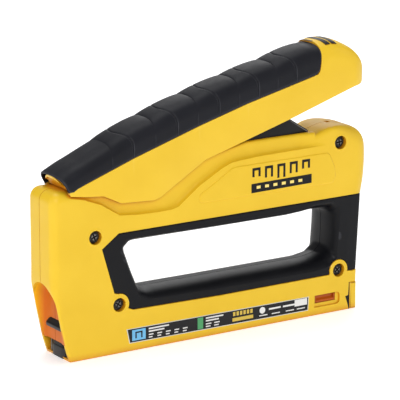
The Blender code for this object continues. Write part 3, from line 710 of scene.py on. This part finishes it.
def lever_grip():
    rings = [grip_ring(x) for x in grip_stations()]
    return soften(loft("lever_grip_overmould", rings, outer=len(rings[0]) // 2 + 2), 50)


def lever_section(low, base, top, half, corner):
    """Solid section of the lever as (y, z): an arch over upright sides, flat below with rounded corners."""
    middle = CHAMFER_MIDDLE * corner
    foot = [(-half + corner, low), (-half + middle, low + middle), (-half, low + corner)]
    return foot + arch(base, top, half)[1:-1] + [(-y, z) for y, z in foot[::-1]]


def handle_stations():
    """X of the sections under the grip, with one at each corner of the lower edge."""
    corners = [1.8, 21.6, 32.6, 53.5, 57.2, 85.8, 111.5, 143.4]
    marks = [LEVER_FRONT_X, -4.3] + [round(-4.0 + 1.6 * i, 3) for i in range(102)] + corners
    return spread_out(marks, 0.25, corners)


def lever_solid(name):
    """The lever's whole outer form, with the grip's volume in it."""
    rings = []
    for x in handle_stations():
        section = lever_section(lever_low(x), min(grip_base(x), crown(x) - 4.0), crown(x), HALF_WIDTH, 0.7)
        rings.append([slanted(x, y, z) for y, z in section])
    for x, top in tail_profile()[5:]:
        low = lever_low(x)
        share = min(0.97, max(0.0, (x - 185.1) / 11.2))
        half = HALF_WIDTH * math.sqrt(1 - share * share)
        corner = min(0.7 + 1.2 * float(smooth((x - 188.0) / 10.0)), 0.3 * (top - low))
        section = lever_section(low, min(grip_base(x), low + 0.45 * (top - low)), top, half, corner)
        rings.append([place(x, y, z) for y, z in section])
    return loft(name, rings)


def grip_seat():
    """Everything of the lever that the rubber grip takes the place of."""
    line = [(-12.0, 88.6), (0.1, 93.6), (40.0, 107.3), (82.2, 120.1), (113.4, 128.6), (157.4, 138.8)]
    corner = [(rear_x(139.0) - 3.6, 139.0), (rear_x(139.6) - 1.4, 139.5), (rear_x(141.0) - 0.3, 140.8),
              (rear_x(143.0) + 0.1, 143.0)]
    outline = line + corner + [(rear_x(151.0) + 0.1, 151.0), (rear_x(151.0) + 0.6, 178.0), (-12.0, 178.0)]
    rings = []
    for x in [-14.0, LEVER_FRONT_X] + [2.0 * i for i in range(87)]:
        thick = rubber(x + 1.0) + 0.25
        rings.append([place(x, y, z) for y, z in arch(60.0, crown(x) - thick, HALF_WIDTH - thick)])
    return cut(prism("seat", outline, -20.0, 20.0), loft("core", rings))


def lever_channel():
    """Hollow under the lever, with the two ears of the roller's axle left in it."""
    tail_limit = [(0.0, 200.0), (174.0, 151.4), (180.0, 148.6), (188.0, 142.6), (192.6, 133.0),
                  (210.0, 131.0)]
    rings = []
    for x in [5.0] + [round(6.5 + 2.0 * i, 3) for i in range(91)] + [189.5, 191.0, 192.4]:
        top = min(crown(min(x, 170.0)) - 6.2, float(interpolate(tail_limit, x)))
        share = min(0.95, max(0.0, (x - 183.0) / 11.2))
        half = (HALF_WIDTH - LEVER_WALL) * math.sqrt(1 - share * share)
        section = arch(min(grip_base(x), top - 2.0), top, half, 24)[1:-1]
        section = [(-half, 70.0)] + section + [(half, 70.0)]
        rings.append([place(x, y, z) for y, z in section])
    channel = loft("channel", rings)
    ear = [(126.0, 124.2), (142.0, 124.2), (142.0, 152.0), (126.0, 152.0)]
    for side in (-1, 1):
        cut(channel, prism("ear", ear, side * 7.4, side * 9.6))
    return channel


def front_recess():
    """Arched recess in the slanted front of the lever, under a thin lip."""
    rings = []
    for reach, inset in ((-9.0, 2.6), (-1.0, 2.6), (0.0, 2.6), (1.0, 2.65), (1.4, 2.8), (1.55, 3.1)):
        section = arch(84.0, crown(-4.0) - inset, HALF_WIDTH - inset)
        rings.append([place(front_x(z) + reach, y, z) for y, z in section])
    return loft("recess", rings)


def lever_handle():
    handle = lever_solid("lever_handle_moulding")
    cut(handle, grip_seat(), lever_channel(), front_recess())
    cut(handle, block("nose_room", (-9.0, 5.6), (-11.2, 11.2), (78.0, 94.6)))
    for side in (-1, 1):
        cut(handle, disc("pin_hole", LEVER_PIVOT, 2.8, side * 11.0, side * 12.7))
        cut(handle, disc("axle_hole", ROLLER_CENTRE, 1.8, side * 6.5, side * 10.6))
    return soften(handle)


# ---------------------------------------------------------------- steel nose, screws, levers and magazine

def plan_outline(x_back, x_front, half):
    """Top view of a bar with round front corners, as (x, y)."""
    corner = 4.0
    depth = min(corner, x_back - 0.1 - x_front)
    points = [(x_back, half)]
    for x, z in arc((0.0, 0.0), 1.0, 0, 90, 10):
        points.append((x_front + depth * (1 - z), half - corner + corner * x))
    return points + [(x, -y) for x, y in points[::-1]]


def plan_loft(name, levels):
    """Solid through plan outlines given as (z, front X, half width) from the bottom up."""
    return loft(name, [[place(x, y, z) for x, y in plan_outline(1.4, front, half)]
                       for z, front, half in levels])


def nose_steel():
    """Guide plate of the striker, with a curled lip across the mouth and a foot below it."""
    guide = block("nose_steel", (0.6, 2.0), (-9.0, 9.0), (0.0, 24.5))
    lip = [(16.4, -2.9, 10.1), (16.55, -3.1, 10.3), (16.8, -3.2, 10.4), (18.2, -3.2, 10.4),
           (18.5, -3.1, 10.3), (18.7, -2.9, 10.1), (19.6, -2.6, 9.6), (20.8, -2.1, 8.8), (22.0, -1.6, 7.6),
           (23.0, -1.1, 6.2), (23.6, -0.6, 4.6)]
    foot = [(0.0, -0.3, 7.2), (0.15, -0.5, 7.4), (0.4, -0.6, 7.5), (6.1, -0.6, 7.5), (6.4, -0.5, 7.4),
            (6.6, -0.3, 7.2), (8.0, 0.0, 6.8), (9.4, 0.3, 6.3)]
    join(guide, plan_loft("lip", lip), plan_loft("foot", foot))
    return soften(guide, 28)


def lathe(name, centre, profile, sides=48):
    """Turned shape about an axis across the tool, from a profile of (radius, y) pairs."""
    rings = []
    for radius, y in profile:
        rings.append([place(x, y, z) for x, z in circle(centre, radius, sides)])
    return loft(name, rings)


def recess_wing(centre, turn, face):
    """One tapered blade of a cross recess."""
    rings = []
    for y, long, thin in ((face - 0.8, 2.35, 0.52), (face + 0.2, 2.05, 0.44), (face + 1.7, 0.75, 0.24)):
        corners = [(-long, -thin), (long, -thin), (long, thin), (-long, thin)]
        c, s = math.cos(turn), math.sin(turn)
        rings.append([place(centre[0] + u * c - v * s, y, centre[1] + u * s + v * c) for u, v in corners])
    return loft("wing", rings)


def screw(name, centre, turn):
    """Pan-head screw with a cross recess, whose shank runs across both shells."""
    face, seat = -12.15, -9.2
    head = lathe(name, centre, [(2.0, face), (2.5, face + 0.06), (3.0, face + 0.25), (3.3, face + 0.6),
                                (3.4, face + 1.0), (3.4, seat)])
    join(head, lathe("shank", centre, [(1.7, seat - 0.4), (1.7, 10.9)], 24))
    cut(head, recess_wing(centre, turn, face))
    cut(head, recess_wing(centre, turn + math.pi / 2, face))
    return soften(head, 30)


def rounded_prism(name, outline, y_start, y_end, radius, steps=4):
    """Side-view outline extruded across the tool, with both edges rounded."""
    inward = turning(outline)
    rounds = [(radius * (1 - z), radius * (1 - x)) for x, z in arc((0.0, 0.0), 1.0, 0, 90, steps)]
    stations = [(inset, y_start + along) for inset, along in rounds]
    stations += [(inset, y_end - along) for inset, along in rounds[::-1]]
    return loft(name, [[place(x, y, z) for x, z in offset(outline, inward * inset, closed=True)]
                       for inset, y in stations])


def inner_lever():
    """Pressed channel from the roller's tail, over the hinge, to the slotted foot that lifts the striker."""
    outline = [(158.0, 106.9), (134.0, 122.3), (128.0, 118.0), (112.5, 104.6), (98.0, 98.6), (84.0, 92.6),
               (76.0, 90.4), (66.0, 83.2), (43.0, 78.0), (4.0, 76.8), (4.0, 32.4), (17.8, 32.4), (17.8, 40.2),
               (11.4, 44.0), (11.4, 72.4), (64.0, 72.4), (80.0, 80.4), (100.0, 88.0), (150.0, 98.0)]
    lever = rounded_prism("inner_lever_pressing", corner_rounded(outline, 0.2, 1.2), -8.3, 8.3, 0.7)
    hollow = [(170.0, 90.0), (156.0, 105.9), (134.0, 120.3), (128.8, 117.4), (113.0, 103.2), (98.0, 96.6),
              (90.0, 93.6), (84.0, 100.0), (60.0, 100.0), (-6.0, 100.0), (-6.0, 20.0), (60.0, 20.0),
              (170.0, 60.0)]
    cut(lever, prism("hollow", hollow, -6.8, 6.8), disc("pin_hole", (80.0, 86.0), 2.8, -10.0, 10.0))
    slot = arc((6.6, 36.4), 1.8, 90, 270, 12) + arc((14.4, 36.4), 1.8, -90, 90, 12)
    cut(lever, prism("foot_slot", slot, -10.0, 10.0))
    return soften(lever, 30)


def end_cap():
    """Cap on the tail of the staple rail, with finger ribs across its end."""
    front = CAP_X + 0.5
    outline = [(front, 0.0), (CAP_END_X, 0.0), (CAP_END_X, CAP_TOP_Z), (front, CAP_TOP_Z)]
    cap = rounded_prism("magazine_cap_moulding", corner_rounded(outline, 0.2, 0.5), -13.35, 13.35, 0.8)
    plug = block("plug", (158.6, CAP_X + 1.5), (-6.8, 6.8), (11.3, 14.6))
    key = block("key", (174.3, CAP_X + 1.5), (-3.5, 3.5), (3.2, 9.7))
    join(cap, plug, key)
    cut(cap, bar_along_x("rod_hole", (160.0, CAP_END_X - 2.0), 6.4, 1.5))
    for z in (5.0, 7.4, 9.8):
        cut(cap, block("groove", (CAP_END_X - 0.5, CAP_END_X + 1.0), (-9.0, 9.0), (z, z + 0.9)))
    return soften(cap, 30)


def cap_shadow_strip():
    """Painted shadow: a thin dark strip in the gap between the casing and the cap, with a tongue in the
    casing's notch, where the gap and notch lie in shade.
    """
    outline = [(183.22, 0.1), (183.78, 0.1), (183.78, 15.8), (183.25, 15.8), (182.95, 8.75), (181.1, 8.1),
               (182.85, 2.5)]
    return prism("cap_shadow_strip", outline, -13.05, 13.05)


def bar_along_x(name, x_range, z, radius, sides=24):
    rings = []
    for x in x_range:
        rings.append([place(x, y, height) for y, height in circle((0.0, z), radius, sides)])
    return loft(name, rings)


def latch_button(name, side):
    """Sunken button whose face falls back from a low ledge for the fingertip."""
    outline = [(160.3, 7.2), (173.7, 7.2), (173.7, 11.3), (160.3, 11.3)]
    button = rounded_prism(name, corner_rounded(outline, 0.3, 0.6), side * 10.3, side * 12.4, 0.25)
    scoop = [[place(x, side * y, z) for y, z in ((11.0, 9.4), (12.9, 7.9), (13.5, 12.6), (10.9, 12.6))]
             for x in (160.9, 173.1)]
    cut(button, loft("scoop", scoop))
    join(button, block("foot", (158.6, 176.6), (side * 10.2, side * 11.1), (4.6, 12.4)))
    return soften(button, 30)


def helix(name, start, end, axis, centre, coil_radius, wire_radius, turns, steps, wire_sides, dead=1.2):
    """Coil spring along Z or X, of so many steps a turn, with dead turns closely wound at both ends."""
    count = turns * steps
    tight = [min(i, count - i) / steps < dead for i in range(count)]
    tight_step = 2.2 * wire_radius / steps
    free_step = (end - start - tight_step * sum(tight)) / (count - sum(tight))
    along = start
    rings = []
    for i, is_tight in enumerate(tight + [True]):
        angle = 2 * math.pi * i / steps
        ring = []
        for reach, lift in circle((coil_radius, along), wire_radius, wire_sides):
            u, v = centre[0] + reach * math.cos(angle), centre[1] + reach * math.sin(angle)
            ring.append(place(u, v, lift) if axis == "z" else place(lift, u, v))
        rings.append(ring)
        along += tight_step if is_tight else free_step
    return soften(loft(name, rings), 60)


def latch_spring(name, side):
    """Bowed leaf spring behind a latch button."""
    section = ((0.0, 6.45), (0.05, 6.4), (0.25, 6.4), (0.3, 6.45), (0.3, 10.35), (0.25, 10.4), (0.05, 10.4),
               (0.0, 10.35))
    rings = []
    for i in range(41):
        share = i / 40
        bow = 8.7 + math.sin(math.pi * share)
        rings.append([place(160.0 + 14.4 * share, side * (bow + y), z) for y, z in section])
    return soften(loft(name, rings), 40)


# ---------------------------------------------------------------- prints and labels

def plate(name, outline, side, base, thickness):
    return prism(name, outline, side * base, side * (base + thickness))


def print_on(item, material, material_slot="black_rubber"):
    dress(item, material, "casing", material_slot)


def bars(name, rows, side, base, thickness):
    """Small raised rectangles, given as (x0, x1, z0, z1), as one mesh."""
    verts, faces = [], []
    for x0, x1, z0, z1 in rows:
        first = len(verts)
        for y in (side * base, side * (base + thickness)):
            verts += [place(x0, y, z0), place(x1, y, z0), place(x1, y, z1), place(x0, y, z1)]
        faces += [tuple(first + i for i in quad) for quad in
                  ((0, 1, 2, 3), (7, 6, 5, 4), (0, 4, 5, 1), (1, 5, 6, 2), (2, 6, 7, 3), (3, 7, 4, 0))]
    return face_outward(add_mesh(name, verts, faces))


def label_row(x, width, low, high, at=None):
    """Mark on the label strip from a low to a high share of its height; the strip runs slightly downhill."""
    foot = 4.65 - ((x if at is None else at) - 36.7) * 0.0064
    return x, x + width, foot + low * 8.2, foot + high * 8.2


def label_text():
    """Plain white bars that stand for the lines of small print."""
    rows = []
    for x, width in ((49.0, 13.0), (86.0, 11.5)):
        rows += [label_row(x, width, 0.74, 0.84), label_row(x, width - 3.0, 0.55, 0.65)]
    for x in (49.0, 54.5, 60.0, 65.5, 71.0):
        rows += [label_row(x, 3.0, 0.34, 0.42), label_row(x, 2.4, 0.16, 0.24)]
    for x in (86.0, 91.5):
        rows += [label_row(x, 3.6, 0.34, 0.42), label_row(x, 3.0, 0.16, 0.24)]
    rows += [label_row(x, 8.0, 0.56, 0.68) for x in (128.0, 137.5)]
    rows += [label_row(x, 5.5, 0.22, 0.29) for x in (121.5, 130.0, 139.5, 147.0)]
    return rows + [label_row(145.5, 8.5, 0.46, 0.92, 150.0)]


def side_label(word, side):
    """Dark strip with a light rim and plain generic marks."""
    name = word + "_label_"
    corners = [(34.9, 12.9), (36.7, 4.6), (154.8, 3.9), (155.3, 12.0)]
    print_on(plate(name + "rim", corners, side, HALF_WIDTH - 0.1, 0.16), LABEL_RIM)
    inner = [(35.5, 12.55), (37.1, 5.0), (154.4, 4.3), (154.85, 11.65)]
    print_on(plate(name + "strip", inner, side, HALF_WIDTH - 0.1, 0.20), LABEL_BLACK)

    face = HALF_WIDTH + 0.09
    print_on(bars(name + "white", label_text(), side, face, 0.05), LABEL_WHITE)
    blue = [label_row(38.4, 8.6, 0.14, 0.88, 43.0)]
    print_on(bars(name + "blue", blue, side, face, 0.05), LABEL_BLUE)
    staple = [label_row(40.4, 4.6, 0.64, 0.74, 43.0), label_row(40.4, 0.9, 0.28, 0.64, 43.0),
              label_row(44.1, 0.9, 0.28, 0.64, 43.0)]
    print_on(bars(name + "staple", staple, side, face + 0.04, 0.03), LABEL_BLACK)
    green = [label_row(80.6, 3.6, 0.10, 0.90, 82.0)]
    print_on(bars(name + "green", green, side, face, 0.05), LABEL_GREEN)
    gold = [label_row(104.0 + 2.3 * i, 1.5, 0.58, 0.86) for i in range(6)]
    gold.append(label_row(103.6, 13.8, 0.20, 0.44, 110.0))
    print_on(bars(name + "gold", gold, side, face, 0.05), LABEL_GOLD, "yellow_plastic")
    badge = circle((123.6, label_row(123.6, 0.0, 0.62, 0.62)[2]), 1.9, 36)
    print_on(plate(name + "badge", badge, side, face, 0.05), LABEL_WHITE)


def side_mark(word, side):
    """Row of staple pictograms above a plain bar, printed on the raised panel."""
    thick, drop = 1.4, 1.5
    rows = []
    for i, leg in enumerate((3.6, 5.0, 6.4, 5.0, 3.6)):
        left = 116.2 + 8.3 * i
        right = left + 5.4
        top = 92.0 + (left - 116.0) * 0.012
        rows += [(left, right, top - drop, top), (left, left + thick, top - drop - leg, top - drop),
                 (right - thick, right, top - drop - leg, top - drop)]
    base = HALF_WIDTH + 0.41
    print_on(bars(word + "_mark_staples", rows, side, base, 0.1), PRINT_BLACK)
    bar = [(115.6, 77.9), (156.0, 78.4), (156.0, 83.6), (115.6, 83.1)]
    print_on(plate(word + "_mark_bar", bar, side, base, 0.1), PRINT_BLACK)
    ticks = [(119.0 + 5.6 * i, 121.6 + 5.6 * i, 80.0, 81.6) for i in range(6)]
    print_on(bars(word + "_mark_ticks", ticks, side, base + 0.08, 0.05), YELLOW, "yellow_plastic")


def tail_point(x, share, lift):
    """World point lifted off the tail's arched section, at a share of the way round it."""
    section = arch(grip_base(x), float(interpolate(tail_profile(), x)), HALF_WIDTH, 48)[2:-2]
    spot = share * (len(section) - 1)
    low = int(spot)
    (y0, z0), (y1, z1) = section[low], section[low + 1]
    y, z = y0 + (y1 - y0) * (spot - low), z0 + (z1 - z0) * (spot - low)
    normal = Vector((z0 - z1, y1 - y0)).normalized()
    return place(x, y + normal.x * lift, z + normal.y * lift)


def tail_dashes():
    """Slanted plain dashes across the top of the tail, as thin pads that follow its curve."""
    columns, rows = 9, 5
    size = columns * rows
    verts, faces = [], []
    dashes = ((162.6, 0.9, 0.46, 0.72), (166.0, 3.1, 0.27, 0.62), (170.2, 3.3, 0.27, 0.54))
    for start, width, near, far in dashes:
        first = len(verts)
        for lift in (0.03, 0.12):
            for i in range(columns):
                share = near + (far - near) * i / (columns - 1)
                left = start - 7.0 * (share - 0.45)
                verts += [tail_point(left + width * k / (rows - 1), share, lift) for k in range(rows)]
        for i in range(columns - 1):
            for k in range(rows - 1):
                a = first + i * rows + k
                faces.append((a, a + rows, a + rows + 1, a + 1))
                faces.append((a + size, a + size + 1, a + size + rows + 1, a + size + rows))
        rim = [first + k for k in range(rows)] + [first + i * rows + rows - 1 for i in range(1, columns)]
        rim += [first + (columns - 1) * rows + k for k in range(rows - 2, -1, -1)]
        rim += [first + i * rows for i in range(columns - 2, 0, -1)]
        faces += [(a, b, b + size, a + size) for a, b in zip(rim, rim[1:] + rim[:1])]
    return soften(face_outward(add_mesh("tail_dashes", verts, faces)), 40)


# ---------------------------------------------------------------- materials

def noise(tree, coordinates, scale, detail=3.0):
    texture = tree.nodes.new("ShaderNodeTexNoise")
    texture.inputs["Scale"].default_value = scale
    texture.inputs["Detail"].default_value = detail
    tree.links.new(coordinates.outputs["Object"], texture.inputs["Vector"])
    return texture.outputs["Fac"]


def ranged(tree, value, source=(0.0, 1.0), result=(0.0, 1.0)):
    """Carries a value from one range over to another, and no further than its ends."""
    node = tree.nodes.new("ShaderNodeMapRange")
    for socket, number in zip(("From Min", "From Max", "To Min", "To Max"), (*source, *result)):
        node.inputs[socket].default_value = number
    tree.links.new(value, node.inputs["Value"])
    return node.outputs["Result"]


def mixed(tree, factor, colour, other):
    """Blends a colour output towards a plain colour."""
    mix = tree.nodes.new("ShaderNodeMix")
    mix.data_type = "RGBA"
    sockets = [socket for socket in mix.inputs if socket.enabled]
    sockets[2].default_value = (*other, 1.0)
    tree.links.new(factor, sockets[0])
    tree.links.new(colour, sockets[1])
    return [socket for socket in mix.outputs if socket.enabled][0]


def painted_edge_highlights(tree, colour, edge_highlight_colour, start, amount):
    """Painted highlight: lighter colour along the sharp edges, where light catches them."""
    geometry = tree.nodes.new("ShaderNodeNewGeometry")
    highlight_amount = ranged(tree, geometry.outputs["Pointiness"], (start, start + 0.10), (0.0, amount))
    return mixed(tree, highlight_amount, colour, edge_highlight_colour)


def painted_pocket_shade(tree, coordinates, colour, shade_colour, x_range):
    """Painted shade: deeper, darker colour further back along X, for the inside of a pocket."""
    split = tree.nodes.new("ShaderNodeSeparateXYZ")
    tree.links.new(coordinates.outputs["Object"], split.inputs["Vector"])
    return mixed(tree, ranged(tree, split.outputs["X"], x_range), colour, shade_colour)


def painted_crease_shade(tree, colour, shade_colour):
    """Painted shade: deeper, darker colour in creases and under lips, where little light comes in."""
    shelter = tree.nodes.new("ShaderNodeAmbientOcclusion")
    shelter.samples = 8
    shelter.inputs["Distance"].default_value = 0.006
    shade_amount = ranged(tree, shelter.outputs["AO"], (0.88, 0.40), (0.0, 0.8))
    return mixed(tree, shade_amount, colour, shade_colour)


def surface(name, dark, light, roughness, spread, grain, depth, metallic=0.0, sheen=0.0, specular=0.5,
            edge=0.0, edge_start=0.56, edge_highlight_colour=None, shade_colour=None, pocket_shade_x_range=None):
    """Moulded or machined surface: soft colour patches, uneven gloss, a fine grain, painted highlights along
    sharp edges and painted shade in creases or further back in a pocket.
    """
    material = bpy.data.materials.new(name)
    material.use_nodes = True
    tree = material.node_tree
    shader = tree.nodes["Principled BSDF"]
    coordinates = tree.nodes.new("ShaderNodeTexCoord")

    ramp = tree.nodes.new("ShaderNodeValToRGB")
    for element, position, tone in zip(ramp.color_ramp.elements, (0.3, 0.7), (dark, light)):
        element.position, element.color = position, (*tone, 1.0)
    tree.links.new(noise(tree, coordinates, 45.0), ramp.inputs["Fac"])
    colour = ramp.outputs["Color"]
    # Painted highlight along sharp edges.
    if edge:
        colour = painted_edge_highlights(tree, colour, edge_highlight_colour, edge_start, edge)
    # Painted shade: darker colour further back inside a pocket, or else in creases and under lips.
    if pocket_shade_x_range:
        colour = painted_pocket_shade(tree, coordinates, colour, shade_colour, pocket_shade_x_range)
    elif shade_colour:
        colour = painted_crease_shade(tree, colour, shade_colour)
    tree.links.new(colour, shader.inputs["Base Color"])

    gloss = ranged(tree, noise(tree, coordinates, 270.0), result=(roughness - spread, roughness + spread))
    tree.links.new(gloss, shader.inputs["Roughness"])
    bump = tree.nodes.new("ShaderNodeBump")
    bump.inputs["Strength"].default_value = 0.5
    bump.inputs["Distance"].default_value = depth
    tree.links.new(noise(tree, coordinates, grain, 2.0), bump.inputs["Height"])
    tree.links.new(bump.outputs["Normal"], shader.inputs["Normal"])
    shader.inputs["Metallic"].default_value = metallic
    shader.inputs["Sheen Weight"].default_value = sheen
    shader.inputs["Specular IOR Level"].default_value = specular
    return material


def ink(name, dark, light, roughness=0.38, specular=0.5):
    """Smooth printed film."""
    return surface(name, dark, light, roughness, 0.05, 1500.0, 0.00001, specular=specular)


# Painted highlights along the yellow's sharp edges, and painted shade in its creases and under lips.
YELLOW = surface("satin_yellow_plastic", (0.775, 0.492, 0.014), (0.815, 0.528, 0.020), 0.42, 0.06, 2600.0,
                 0.00003, specular=0.35, edge=0.7, edge_highlight_colour=(1.0, 0.80, 0.28),
                 shade_colour=(0.62, 0.21, 0.003))
# Painted shade: a shaded copy of the yellow, deeper orange further back inside the nose's pocket.
SHADED_YELLOW = surface("shaded_yellow_plastic", (0.86, 0.480, 0.012), (0.90, 0.520, 0.018), 0.42, 0.06,
                        2600.0, 0.00003, specular=0.2, shade_colour=(0.60, 0.130, 0.001),
                        pocket_shade_x_range=(-0.1000, -0.0955))
# Painted highlights along the grip's sharp edges and ridges.
BLACK = surface("soft_touch_black", (0.0075, 0.0078, 0.0110), (0.0105, 0.0108, 0.0150), 0.50, 0.07, 3200.0,
                0.00004, sheen=0.02, specular=0.16, edge=0.9, edge_start=0.515,
                edge_highlight_colour=(0.110, 0.113, 0.135))
# Painted highlights along the insert's sharp edges.
INSERT = surface("moulded_black_insert", (0.0045, 0.0047, 0.0062), (0.0065, 0.0067, 0.0085), 0.38, 0.05,
                 2600.0, 0.00003, specular=0.15, edge=0.4, edge_highlight_colour=(0.06, 0.06, 0.07))
# Painted glints along the sharp edges of the black steel, such as the rims of the screws' cross recesses.
STEEL_BLACK = surface("black_oxide_steel", (0.0060, 0.0055, 0.0055), (0.0100, 0.0095, 0.0095), 0.34, 0.08,
                      1800.0, 0.00002, specular=0.20, edge=0.6, edge_start=0.53,
                      edge_highlight_colour=(0.50, 0.48, 0.46))
STEEL = surface("zinc_steel", (0.50, 0.50, 0.51), (0.62, 0.62, 0.62), 0.30, 0.08, 1500.0, 0.00002,
                metallic=1.0)
SPRING = surface("spring_wire", (0.36, 0.37, 0.39), (0.50, 0.51, 0.53), 0.30, 0.07, 2000.0, 0.00001,
                 metallic=1.0)
AMBER = surface("amber_plastic", (0.38, 0.070, 0.003), (0.46, 0.090, 0.004), 0.38, 0.05, 2200.0, 0.00003,
                specular=0.3)
PAD = surface("stop_rubber", (0.008, 0.008, 0.008), (0.013, 0.013, 0.013), 0.70, 0.08, 2400.0, 0.00005,
              specular=0.2)
PRINT_BLACK = surface("print_black", (0.004, 0.004, 0.005), (0.007, 0.007, 0.008), 0.42, 0.05, 2600.0,
                      0.00001, specular=0.2)
LABEL_BLACK = ink("label_black", (0.007, 0.007, 0.009), (0.011, 0.011, 0.013), 0.34, 0.25)
LABEL_RIM = ink("label_rim", (0.60, 0.60, 0.55), (0.70, 0.70, 0.66), 0.40)
LABEL_WHITE = ink("label_white", (0.70, 0.70, 0.69), (0.80, 0.80, 0.79), 0.40)
LABEL_BLUE = ink("label_blue", (0.12, 0.42, 0.72), (0.15, 0.48, 0.80))
LABEL_GREEN = ink("label_green", (0.05, 0.30, 0.10), (0.07, 0.36, 0.13))
LABEL_GOLD = ink("label_gold", (0.60, 0.42, 0.04), (0.68, 0.48, 0.06))


def dress(item, material, body, material_slot, *nodes):
    """Gives a piece its material, hides the CAD nodes it stands for and hangs it on the body it rides on;
    material_slot is not used.
    """
    item.data.materials.clear()
    item.data.materials.append(material)
    if nodes:
        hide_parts(*nodes)
    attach(item, body)
    return item


def repaint(material, *nodes):
    """Gives CAD nodes that show as they are a procedural material."""
    for node in nodes:
        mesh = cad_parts[node].data
        mesh.materials.clear()
        mesh.materials.append(material)


# ---------------------------------------------------------------- camera, floor and light

def stage_and_light():
    camera_data = bpy.data.cameras.new("camera")
    camera_data.lens = CAMERA_LENS
    camera_data.sensor_width = 36.0
    camera_data.clip_end = 50.0
    camera = bpy.data.objects.new("camera", camera_data)
    bpy.context.scene.collection.objects.link(camera)
    camera.location = CAMERA_PLACE
    camera.rotation_euler = (math.radians(90 - CAMERA_ELEVATION), 0.0, math.radians(CAMERA_AZIMUTH))
    bpy.context.scene.camera = camera

    floor = add_mesh("floor", [(-6, -6, 0), (6, -6, 0), (6, 6, 0), (-6, 6, 0)], [(0, 1, 2, 3)])
    floor.data.materials.append(floor_material())

    bpy.context.scene.view_settings.view_transform = "Standard"
    world = bpy.data.worlds.new("studio")
    bpy.context.scene.world = world
    world.use_nodes = True
    background = world.node_tree.nodes["Background"]
    background.inputs["Color"].default_value = (1.0, 1.0, 1.0, 1.0)
    background.inputs["Strength"].default_value = 0.25

    area_light("key", (-0.7, -1.3, 0.9), 0.06, 0.6, 11.0)
    area_light("fill", (1.2, -0.8, 0.6), 0.06, 1.0, 3.2)
    area_light("top", (0.1, 0.3, 1.6), 0.08, 1.0, 11.5)
    area_light("front", (-1.6, -0.1, 0.5), 0.06, 0.9, 5.5)
    area_light("back", (0.9, 1.2, 0.9), 0.06, 1.0, 6.0)


def floor_material():
    """White light-table floor: plain, matt and faintly glowing."""
    material = bpy.data.materials.new("light_table")
    material.use_nodes = True
    shader = material.node_tree.nodes["Principled BSDF"]
    shader.inputs["Base Color"].default_value = (0.93, 0.93, 0.93, 1.0)
    shader.inputs["Roughness"].default_value = 0.7
    shader.inputs["Emission Color"].default_value = (1.0, 1.0, 1.0, 1.0)
    shader.inputs["Emission Strength"].default_value = 0.42
    return material


def area_light(name, location, target_height, size, power):
    """Square light aimed at a height above the frame's origin."""
    data = bpy.data.lights.new(name, "AREA")
    data.shape = "SQUARE"
    data.size = size
    data.energy = power
    light = bpy.data.objects.new(name, data)
    bpy.context.scene.collection.objects.link(light)
    light.location = location
    aim = Vector((0.0, 0.0, target_height)) - Vector(location)
    light.rotation_euler = aim.to_track_quat("-Z", "Y").to_euler()


# ---------------------------------------------------------------- assembly

def paint_mouth_shade(shell):
    """Paints shade on the inside of the nose's pocket: its faces get the shaded copy of the yellow."""
    shell.data.materials.append(SHADED_YELLOW)
    for face in shell.data.polygons:
        x, y, z = face.center.x / MM + ORIGIN_X, abs(face.center.y) / MM, face.center.z / MM
        if -7.2 < x < -1.0 and y < MOUTH_HALF + 0.05 and 9.5 < z < MOUTH_TOP_Z + 0.1:
            face.material_index = 1


def build_casing():
    for word, side in (("left", -1), ("right", 1)):
        shell = casing_shell(word + "_casing_moulding", side)
        dress(shell, YELLOW, "casing", "yellow_plastic", word + "_shell")
        # Painted shade inside the nose's pocket.
        paint_mouth_shade(shell)
        insert = window_insert(word + "_window_insert", side)
        dress(insert, INSERT, "casing", "black_rubber", word + "_window_grip")
        side_label(word, side)
        side_mark(word, side)
    for i, (node, centre) in enumerate(SCREWS.items()):
        head = screw(node + "_head", centre, math.radians(20 + 37 * i))
        dress(head, STEEL_BLACK, "casing", "black_steel", node)
    dress(nose_steel(), STEEL_BLACK, "casing", "black_steel", "nose_guide")
    repaint(STEEL, "bumper_plate", "magazine_channel", "lever_pivot_pin", "inner_lever_pin")
    repaint(STEEL_BLACK, "spring_seat")
    repaint(PAD, "impact_bumper")


def build_mechanism():
    dress(lever_handle(), YELLOW, "lever", "yellow_plastic", "lever_handle")
    dress(lever_grip(), BLACK, "lever", "black_rubber", "lever_grip")
    dress(tail_dashes(), PRINT_BLACK, "lever", "black_rubber")
    dress(inner_lever(), STEEL_BLACK, "inner_lever", "black_steel", "inner_lever")
    repaint(STEEL, "push_roller", "roller_axle", "striker_block", "striker_blade", "lift_pin")

    spring = helix("power_spring_wire", 44.7, 86.2, "z", (6.0, 0.0), 4.8, 1.1, 8, 32, 12)
    dress(spring, SPRING, "casing", "spring_steel", "power_spring")
    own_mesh(spring)


def build_magazine():
    dress(end_cap(), YELLOW, "magazine", "yellow_plastic", "magazine_end_cap")
    # Painted shadow: dark strip in the gap at the cap.
    dress(cap_shadow_strip(), PAD, "magazine", "black_rubber")
    repaint(STEEL, "staple_rail", "pusher_rod")
    repaint(STEEL_BLACK, "staple_pusher")
    spring = helix("pusher_spring_wire", 17.9, 173.5, "x", (0.0, 6.4), 2.1, 0.33, 48, 16, 8, 2.0)
    dress(spring, SPRING, "magazine", "spring_steel", "pusher_spring")
    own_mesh(spring)
    for word, side in (("left", -1), ("right", 1)):
        button = latch_button(word + "_latch_button", side)
        dress(button, AMBER, word + "_latch", "amber_plastic", word + "_magazine_latch")
        bow = latch_spring(word + "_latch_bow", side)
        dress(bow, SPRING, "casing", "spring_steel", word + "_latch_spring")
        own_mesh(bow)


stage_and_light()
build_casing()
build_mechanism()
build_magazine()
